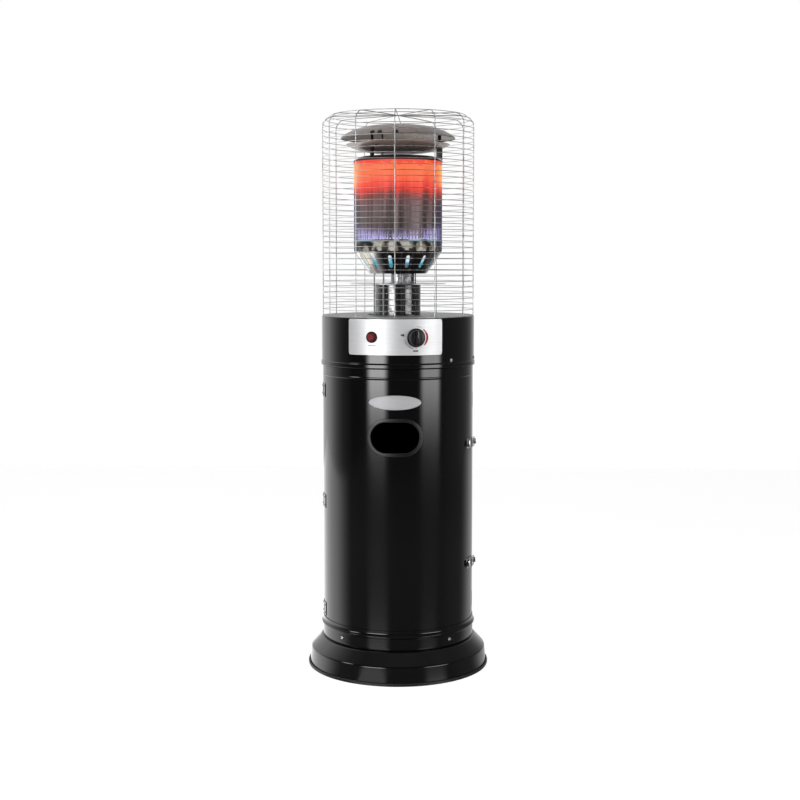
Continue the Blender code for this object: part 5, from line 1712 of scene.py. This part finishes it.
@dataclass
class Burner:
    """Deck, shroud, legs, baffle, cone, screen and lid."""

    deck: float = 0.1852
    deck_low: float = 0.8615
    deck_thick: float = 0.0015
    deck_hole: float = 0.0300
    deck_ring: float = 0.0880
    shroud: float = 0.0553
    baffle: float = 0.1170
    baffle_top: float = 0.9400
    baffle_hole: float = 0.0178
    leg_radius: float = 0.0575
    leg_width: float = 0.0160
    leg_foot: float = 0.0160
    leg_thick: float = 0.0015
    legs: tuple[tuple[str, float], ...] = (("front", 27.4), ("rear", 147.4), ("side", 267.4))
    cone_low: float = 0.9640
    cone_low_radius: float = 0.0703
    cone_flange: float = 0.0540
    cone_top: float = 1.0180
    band_top: float = 1.0300
    slot: tuple[float, float] = (0.0090, 0.0300)
    slots: int = 14
    slot_turn: float = 3.7
    screen: float = 0.1075
    screen_top: float = 1.2340
    screen_wall: float = 0.0011
    seam: float = 1.0400
    flame: tuple[tuple[float, float], ...] = (
        (0.0975, 1.0165), (0.0700, 0.9760), (0.0690, 0.9768), (0.0962, 1.0168),
    )
    lid_radius: float = 0.1086
    lid_crown: float = 0.0920
    lid_top: float = 1.2460
    lead_radius: float = 0.0605
    leads: tuple[tuple[float, float], ...] = ((-33.0, 0.0020), (46.4, 0.0014), (9.5, 0.0014))

    @property
    def deck_top(self) -> float:
        """Height of the deck's upper face."""
        return self.deck_low + self.deck_thick

    def deck_plate(self) -> None:
        """The round plate on the collar, with a rolled rim and a raised middle ring."""
        low, top = self.deck_low, self.deck_top
        outer = fillet([
            (self.deck_hole, low), (self.deck_hole, top + 0.0015, 0.0012),
            (self.deck_hole + 0.006, top, 0.002),
            (self.deck_ring, top, 0.0008), (self.deck_ring + 0.0016, top - 0.0008, 0.0008),
            (self.deck - 0.010, top - 0.0008, 0.002), (self.deck - 0.007, top + 0.0008, 0.001),
            (self.deck - 0.001, top + 0.0008, 0.0012), (self.deck, top - 0.0004, 0.0008), (self.deck, low),
        ], closed=True, steps=3)
        put("deck", lathe(outer), DECK_GREY, "housing", "deck_plate")

    def shroud_tube(self) -> None:
        """The dark tube round the mixing tube."""
        low, high = self.deck_top + CLEAR, self.baffle_top - SHEET - CLEAR
        outer, inner = self.shroud, self.shroud - 0.001
        shape = lathe(fillet([
            (outer, high), (outer, high - 0.004, 0.001), (outer, low + 0.004), (outer, low),
            (inner, low), (inner, high),
        ], closed=True), segments=96)
        put("shroud", shape, SHROUD_STEEL, "housing", "air_shroud")

    def baffle_disc(self) -> None:
        """The bright disc over the shroud, its rim turned down."""
        top, low = self.baffle_top, self.baffle_top - SHEET
        outer = fillet([
            (self.baffle_hole, top), (self.baffle - 0.0004, top, 0.0006),
            (self.baffle, top - 0.0006, 0.0003), (self.baffle, low), (self.baffle_hole, low),
        ], closed=True, steps=3)
        cutters = []
        for angle, wire in self.leads:
            size = 2 * wire + 0.0012
            at = Matrix.Translation(polar(self.lead_radius, angle, top)) @ OUTWARD.inverted()
            cutters.append(post(oval(size, size, 16), 0.004, at))
        put("baffle_plate", carve(lathe(outer), merged(*cutters)), PALE_STEEL, "housing", "heat_baffle")

    def leg_straps(self) -> None:
        """Three bent straps from the deck to the cone."""
        foot, top = self.deck_top + CLEAR, self.cone_low - CLEAR
        thick = self.leg_thick
        inner, outer = self.leg_radius, self.leg_radius + thick
        toe = outer + self.leg_foot
        lug = self.baffle_top - SHEET - CLEAR
        side = fillet([
            (inner, foot, 0.002), (toe, foot), (toe, foot + thick), (outer, foot + thick, 0.0012),
            (outer, lug - 0.0025), (outer + 0.0025, lug), (outer, lug), (outer, top, 0.0008),
            (inner - 0.003, top), (inner - 0.003, top - thick), (inner, top - thick, 0.0006),
        ], closed=True, steps=3)
        for name, angle in self.legs:
            strap = bar(side, self.leg_width, EDGE, radial_place(angle))
            head = rivet(0.0032, 0.0016, Matrix.Translation(polar(outer + 0.0095, angle, foot + thick)))
            put(f"{name}_leg", merged(strap, head), LEG_STEEL, "housing", f"burner_leg_{name}")

    def cone(self) -> None:
        """The slotted cone under the screen, with the flame behind its slots."""
        band = self.screen - self.screen_wall - CLEAR
        slope = (self.cone_top - self.cone_low) / (self.screen - self.cone_low_radius)
        wall = 0.0008
        inner_band, inner_foot = band - wall, self.cone_low_radius - 0.0005
        floor = self.cone_low + wall
        profile = fillet([
            (band, self.band_top), (band, self.cone_top, 0.0003),
            (self.screen, self.cone_top - 0.0012, 0.0006), (self.cone_low_radius, self.cone_low, 0.0012),
            (self.cone_flange, self.cone_low), (self.cone_flange, floor), (inner_foot, floor),
            (inner_band, floor + (inner_band - inner_foot) * slope), (inner_band, self.band_top),
        ], closed=True, steps=3)
        middle = (self.cone_low + self.cone_top) / 2 + 0.002
        reach = (self.screen + self.cone_low_radius) / 2
        outline = [(y, x) for x, y in stadium(self.slot[1], self.slot[0], 8)]
        turns = [360 * (k + 0.5) / self.slots + self.slot_turn for k in range(self.slots)]
        cutters = [post(outline, 0.014, wall_place(reach, turn, middle)) for turn in turns]
        put("cone", carve(lathe(profile), merged(*cutters)), POLISHED_STEEL, "housing", "burner_cone")
        put("cone_flame", lathe(list(self.flame)), FLAME, "housing")

    def screen_tube(self) -> None:
        """The perforated screen, with a bead over its foot."""
        outer, bead, inner = self.screen, self.screen + 0.0006, self.screen - self.screen_wall
        foot, top = self.cone_top + CLEAR, self.screen_top
        profile = fillet([
            (outer - 0.0003, top, 0.0002), (outer, top - 0.0015, 0.0006),
            (outer, self.seam + 0.0025, 0.0004),
            (bead, self.seam + 0.0015, 0.0004), (bead, self.seam - 0.0015, 0.0004),
            (outer, self.seam - 0.0025, 0.0004), (outer, foot + 0.002, 0.0006), (outer - 0.0003, foot),
            (inner, foot), (inner, top),
        ], closed=True, steps=3)
        put("screen", lathe(profile), GLOWING_STEEL, "housing", "emitter_screen")

    def lid(self) -> None:
        """The dark pressed lid on the screen."""
        seat = self.screen_top + CLEAR
        outer = fillet([
            (0.0, self.lid_top), (self.lid_crown, self.lid_top, 0.004),
            (self.lid_radius - 0.003, seat + 0.0032, 0.002), (self.lid_radius, seat + 0.0026, 0.0012),
            (self.lid_radius, seat, 0.0004), (self.lid_crown + 0.008, seat),
            (self.lid_crown - 0.001, self.lid_top - SHEET, 0.003), (0.0, self.lid_top - SHEET),
        ], steps=4)
        put("lid", lathe(outer, False), DARK_STEEL, "housing", "emitter_lid")

    def build(self) -> None:
        """Make the burner."""
        self.deck_plate()
        self.shroud_tube()
        self.baffle_disc()
        self.leg_straps()
        self.cone()
        self.screen_tube()
        self.lid()


@dataclass
class Reflectors:
    """The two bowls over the burner and the straps that carry them."""

    wall: float = 0.0008
    dish: tuple[float, float, float] = (0.1260, 1.2756, 1.2555)
    dome: tuple[float, float, float] = (0.1390, 1.2930, 1.3222)
    lip: float = 0.0030
    lid: tuple[tuple[float, float], tuple[float, float]] = ((0.0920, 1.2460), (0.1086, 1.2372))
    strap: tuple[float, float] = (0.0940, 0.1085)
    shoulder: float = 0.0030
    thickness: float = 0.0015
    straps: tuple[tuple[str, float], ...] = (("right", 85.0), ("left", -35.0), ("rear", -155.0))
    bolts: tuple[float, ...] = (-24.0, -16.0, 0.4)
    steps: int = 24

    def bowl(self, size: tuple[float, float, float], radius: float) -> float:
        """Height of a bowl's face.

        Args:
            size: its rim radius, rim height and middle height.
            radius: the distance from its middle.

        Returns:
            The height.
        """
        rim_radius, rim, middle = size
        return middle + (rim - middle) * (radius / rim_radius) ** 3.6

    def bowls(self) -> None:
        """The lower dish and the upper dome with a rolled rim."""
        rim_radius = self.dish[0]
        stations = [rim_radius * k / self.steps for k in range(self.steps + 1)]
        under = [(radius, self.bowl(self.dish, radius)) for radius in stations]
        over = [(r, z + self.wall) for r, z in under]
        over[-1] = (rim_radius - 0.0002, over[-1][1] + 0.0001)
        shape = lathe([*over, *reversed(under)], False)
        middle = (self.strap[0] + self.strap[1]) / 2
        slot = [(-0.0048, -0.03), (0.0048, -0.03), (0.0048, 0.03), (-0.0048, 0.03)]
        along = Matrix.Rotation(math.radians(90), 4, "Z")
        cutters = [
            post(slot, 0.0011, wall_place(middle, angle, self.dish[1] - 0.008) @ along)
            for _, angle in self.straps
        ]
        put("lower_bowl", carve(shape, merged(*cutters)), WARM_STEEL, "housing", "lower_reflector")
        rim_radius, rim_height, _ = self.dome
        stations = [rim_radius * k / self.steps for k in range(self.steps)]
        over = [(radius, self.bowl(self.dome, radius)) for radius in stations]
        rim = [
            (rim_radius - 0.0006, rim_height + 0.0003), (rim_radius, rim_height - 0.0006),
            (rim_radius, rim_height - self.lip), (rim_radius - self.wall, rim_height - self.lip),
            (rim_radius - self.wall, rim_height - 0.0008),
        ]
        under = [(r, z - self.wall) for r, z in reversed(over)]
        put("upper_bowl", lathe([*over, *rim, *under], False), HEAT_STEEL, "housing", "upper_reflector")
        seat = rim_radius * 0.975
        slope = math.atan2(self.bowl(self.dome, seat - 0.002) - self.bowl(self.dome, seat + 0.002), 0.004)
        lean = OUTWARD @ Matrix.Rotation(math.radians(90) - slope, 4, "X")
        heads = []
        for angle in self.bolts:
            place_at = wall_place(seat, angle, self.bowl(self.dome, seat))
            heads.append(rivet(0.0060, 0.0040, place_at @ lean))
        put("dome_bolts", merged(*heads), DARK_STEEL, "housing")

    def strap_bars(self) -> None:
        """Three upright straps on the lid."""
        inner, outer = self.strap
        near, far = inner + self.shoulder, outer - self.shoulder
        (r0, z0), (r1, z1) = self.lid

        def on_lid(radius: float) -> tuple[float, float]:
            """A point just over the lid's slope."""
            return radius, z0 + (z1 - z0) * (radius - r0) / (r1 - r0) + CLEAR

        def under_dish(radius: float) -> tuple[float, float, float]:
            """A corner just under the dish."""
            return radius, self.bowl(self.dish, radius) - CLEAR, 0.0006

        def under_dome(radius: float) -> tuple[float, float, float]:
            """A corner just under the dome."""
            return radius, self.bowl(self.dome, radius) - self.wall - CLEAR, 0.0006

        side = fillet([
            on_lid(inner), on_lid(outer), under_dish(outer), under_dish(far),
            under_dome(far), under_dome(near), under_dish(near), under_dish(inner),
        ], closed=True, steps=3)
        for name, angle in self.straps:
            strap = bar(side, self.thickness, EDGE, radial_place(angle))
            put(f"{name}_strap", strap, DARK_STEEL, "housing", f"reflector_strap_{name}")

    def build(self) -> None:
        """Make the reflectors."""
        self.bowls()
        self.strap_bars()


# Guard


@dataclass
class Guard:
    """The welded wire guard."""

    radius: float = 0.1838
    wire: float = 0.0011
    uprights: int = 12
    rings: int = 34
    pitch: float = 0.0136
    first: float = 0.8779
    foot: float = 0.8633
    ring_wire: float = 0.0008
    ring_steps: int = 96
    top: float = 1.3480
    crown_rings: tuple[tuple[float, float], ...] = ((0.1762, 1.3363), (0.1655, 1.3442))
    shoulder: tuple[float, ...] = (1.3285, 0.009)
    turn: tuple[float, ...] = (0.1675, 1.3450, 0.012)

    def build(self) -> None:
        """Make uprights that cross on top, and rings spot-welded inside them."""
        path = fillet([
            (self.radius, self.foot), (self.radius, *self.shoulder), self.turn,
            (0.09, self.top - self.wire * 1.4, 0.03), (0.0, self.top - self.wire),
        ], steps=6)
        wires = bmesh.new()
        for k in range(self.uprights):
            angle = 360 * k / self.uprights
            tube([polar(radius, angle, height) for radius, height in path], self.wire, 10, False, wires)
        put("guard_uprights", wires, WIRE, "housing", "wire_guard")
        hoops = bmesh.new()
        turns = [360 * k / self.ring_steps for k in range(self.ring_steps)]
        for ring in range(self.rings):
            height = self.first + self.pitch * ring
            wobble = 0.0004 * math.sin(2.4 * ring)
            waves = [wobble * math.sin(math.radians(2 * turn + 40 * ring)) for turn in turns]
            route = [polar(self.radius, turn, height + wave) for turn, wave in zip(turns, waves)]
            tube(route, self.ring_wire, 8, True, hoops)
        for radius, height in self.crown_rings:
            tube([polar(radius, turn, height) for turn in turns], self.ring_wire, 8, True, hoops)
        put("guard_rings", hoops, RING_WIRE, "housing")
        hub = lathe([
            (0.0, self.top), (0.003, self.top - 0.0002), (0.0045, self.top - 0.0012),
            (0.003, self.top - 0.0022), (0.0, self.top - 0.0024),
        ], False, 24)
        put("guard_crown_weld", hub, WIRE, "housing")


# Pieces kept from the model


KEPT: dict[str, Finish] = {
    "knob_spindle": ZINC,
    "valve_plunger": BRASS,
    "gas_valve": ALUMINIUM,
    "tilt_switch": BLACK_PLASTIC,
    "burner_jet": BRASS,
    "mixing_tube": ALUMINIUM,
    "burner_head": DARK_STEEL,
    "main_gas_tube": COPPER,
    "pilot_gas_tube": ALUMINIUM,
    "pilot_burner": BRASS,
    "thermocouple": SOOTY_COPPER,
    "ignition_electrode": DARK_STEEL,
}


def dress_kept() -> None:
    """Give the pieces kept from the model their finishes."""
    for name, finish in KEPT.items():
        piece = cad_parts[name]
        for slot in piece.material_slots:
            slot.material = finish.material()
        log.info("%s: kept, dressed as %s", name, finish.slot.value)


# Studio


@dataclass(frozen=True)
class Lamp:
    """A soft area lamp aimed at the heater's middle."""

    name: str
    angle: float
    height: float
    size: tuple[float, float]
    power: float
    distance: float = 2.5
    aim: tuple[float, float, float] = (0.0, 0.0, 0.75)

    def build(self) -> None:
        """Hang the lamp, unseen by the camera and in the gloss."""
        data = bpy.data.lights.new(self.name, "AREA")
        data.shape = "RECTANGLE"
        data.size, data.size_y = self.size
        data.energy = self.power
        holder = bpy.data.objects.new(self.name, data)
        holder.location = polar(self.distance, self.angle, self.height)
        look = Vector(self.aim) - holder.location
        holder.rotation_euler = look.to_track_quat("-Z", "Y").to_euler()
        holder.visible_camera = False
        holder.visible_glossy = False
        link(holder)


LAMPS = (
    Lamp("left_window", -35.0, 1.15, (1.4, 1.3), 34.0),
    Lamp("right_window", 52.0, 1.15, (1.6, 1.3), 26.0),
    Lamp("top_fill", 10.0, 2.9, (1.6, 1.6), 22.0, distance=2.4),
)


@dataclass
class Studio:
    """Camera, lamps, world and floor."""

    lens: float = 60.592
    distance: float = 3.3061
    height: float = 0.9862
    azimuth: float = 2.3
    pitch: float = 4.397
    shift: tuple[float, float] = (0.0025, -0.04)
    floor_size: float = 6.4
    walls: tuple[tuple[float, float], ...] = (
        (-168, 0.85), (-143, 1.15), (-125, 1.35), (-113, 0.95), (-102, 0.52), (-90, 0.20), (-70, 0.03),
        (0, 0.03), (68, 0.04), (84, 0.12), (104, 0.14), (125, 0.20), (140, 0.33), (160, 0.75),
    )

    def camera(self) -> None:
        """The photograph's viewpoint."""
        data = bpy.data.cameras.new("viewpoint")
        data.sensor_width = 36.0
        data.lens = self.lens
        data.shift_x, data.shift_y = self.shift
        data.clip_start = 0.05
        holder = bpy.data.objects.new("viewpoint", data)
        holder.location = polar(self.distance, self.azimuth, self.height)
        holder.rotation_euler = (math.radians(90 - self.pitch), 0.0, math.radians(self.azimuth))
        link(holder)
        bpy.context.scene.camera = holder

    def world(self) -> None:
        """White to the camera, plain soft light, and a studio with two soft windows in the gloss."""
        world = bpy.data.worlds.new("studio")
        bpy.context.scene.world = world
        world.use_nodes = True
        shade = Shade(world.node_tree)
        direction = shade.node("ShaderNodeTexCoord", outlet="Generated")
        x, y, z = shade.axes(direction)
        turn = shade.bearing(x, y)
        rise = z.math("ARCSINE") * (180 / math.pi)
        stops = [(bearing / 360 + 0.5, (level, level, level)) for bearing, level in self.walls]
        room = shade.ramp(turn * (1 / 360) + 0.5, stops)
        low = ((rise + 9.2) / 4.0).within(0.0, 1.0) ** 2.8
        reach = low * (1.0 - rise.fade(6.0, 15.0))
        left = turn.between(-43.0, -16.0, 5.0) * reach * 9.6
        right = turn.between(38.5, 67.5, 4.5) * reach * 5.8
        corner = turn.between(-78.0, -63.0, 2.5) * rise.between(20.0, 32.0, 4.0) * 8.0
        over = rise.fade(35.0, 75.0) * 0.16 + corner
        extra = left + right + over
        gloss = shade.vector("ADD", room, shade.joined(extra, extra, extra))
        camera, glossy, through = shade.rays()
        colour = shade.mix(glossy, (0.27, 0.27, 0.27), gloss)
        colour = shade.mix(camera.math("MAXIMUM", through), colour, (1.0, 1.0, 1.0))
        background = shade.node("ShaderNodeBackground", None, {"Color": colour, "Strength": 1.0})
        shade.node("ShaderNodeOutputWorld", None, {"Surface": background})

    def floor(self) -> None:
        """A pale floor that runs out of view and keeps the heater's shadow; to glossy rays it is near black
        with painted light patches, which show as reflections on the heater.
        """
        shape = bmesh.new()
        bmesh.ops.create_grid(shape, x_segments=24, y_segments=24, size=self.floor_size / 2)
        mesh = bpy.data.meshes.new("floor")
        shape.to_mesh(mesh)
        shape.free()
        floor = bpy.data.objects.new("floor", mesh)
        floor.location.z = -0.0002
        link(floor)
        made = bpy.data.materials.new("look_floor")
        made.use_nodes = True
        shade = Shade(made.node_tree)
        camera, glossy, _ = shade.rays()
        grain = shade.noise(30.0, 3.0)
        x, y, _ = shade.axes()
        away = (x * x + y * y).math("SQRT")
        bearing = shade.bearing(x, y) / (1.0 - away ** -1.0 * 0.1)
        near = away.fade(2.7, 1.3)
        # Painted light for reflections only: bright patches at two bearings, brighter sides and a faint glow
        # near the heater.
        patches = bearing.between(-43.0, -14.0, 6.0) * 0.19 + bearing.between(39.0, 64.0, 6.0) * 0.066
        sides = bearing.fade(-72.0, -112.0) * 1.5 + bearing.fade(112.0, 150.0) * 0.55
        sides = sides + bearing.fade(70.0, 90.0) * 0.05
        seen = (patches * away ** -2.0).math("MINIMUM", 0.85) * near + sides + near * 0.035 + 0.035
        painted_gloss_light = shade.joined(seen, seen, seen)
        matt = shade.mix(grain * 0.1, (0.40, 0.40, 0.40), (0.36, 0.36, 0.36))
        # The camera sees an even pale floor; glossy rays see it near black under the painted light.
        shade.surface(
            Base_Color=shade.mix(glossy, matt, (0.02, 0.02, 0.02)),
            Roughness=0.7,
            Emission_Color=shade.mix(camera, shade.mix(glossy, (0.0, 0.0, 0.0), painted_gloss_light), (0.80, 0.80, 0.80)),
            Emission_Strength=1.0,
        )
        mesh.materials.append(made)

    def build(self) -> None:
        """Set the studio up."""
        self.camera()
        self.world()
        self.floor()
        for lamp in LAMPS:
            lamp.build()
        bpy.context.scene.view_settings.view_transform = "Standard"


def main() -> None:
    """Build the looks."""
    logging.basicConfig(level=logging.INFO, format="%(name)s: %(message)s")
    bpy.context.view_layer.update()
    Studio().build()
    for part in (Housing(), DoorFittings(), ControlPanel(), Burner(), Reflectors(), Guard()):
        part.build()
    dress_kept()


if __name__ == "__main__":
    main()
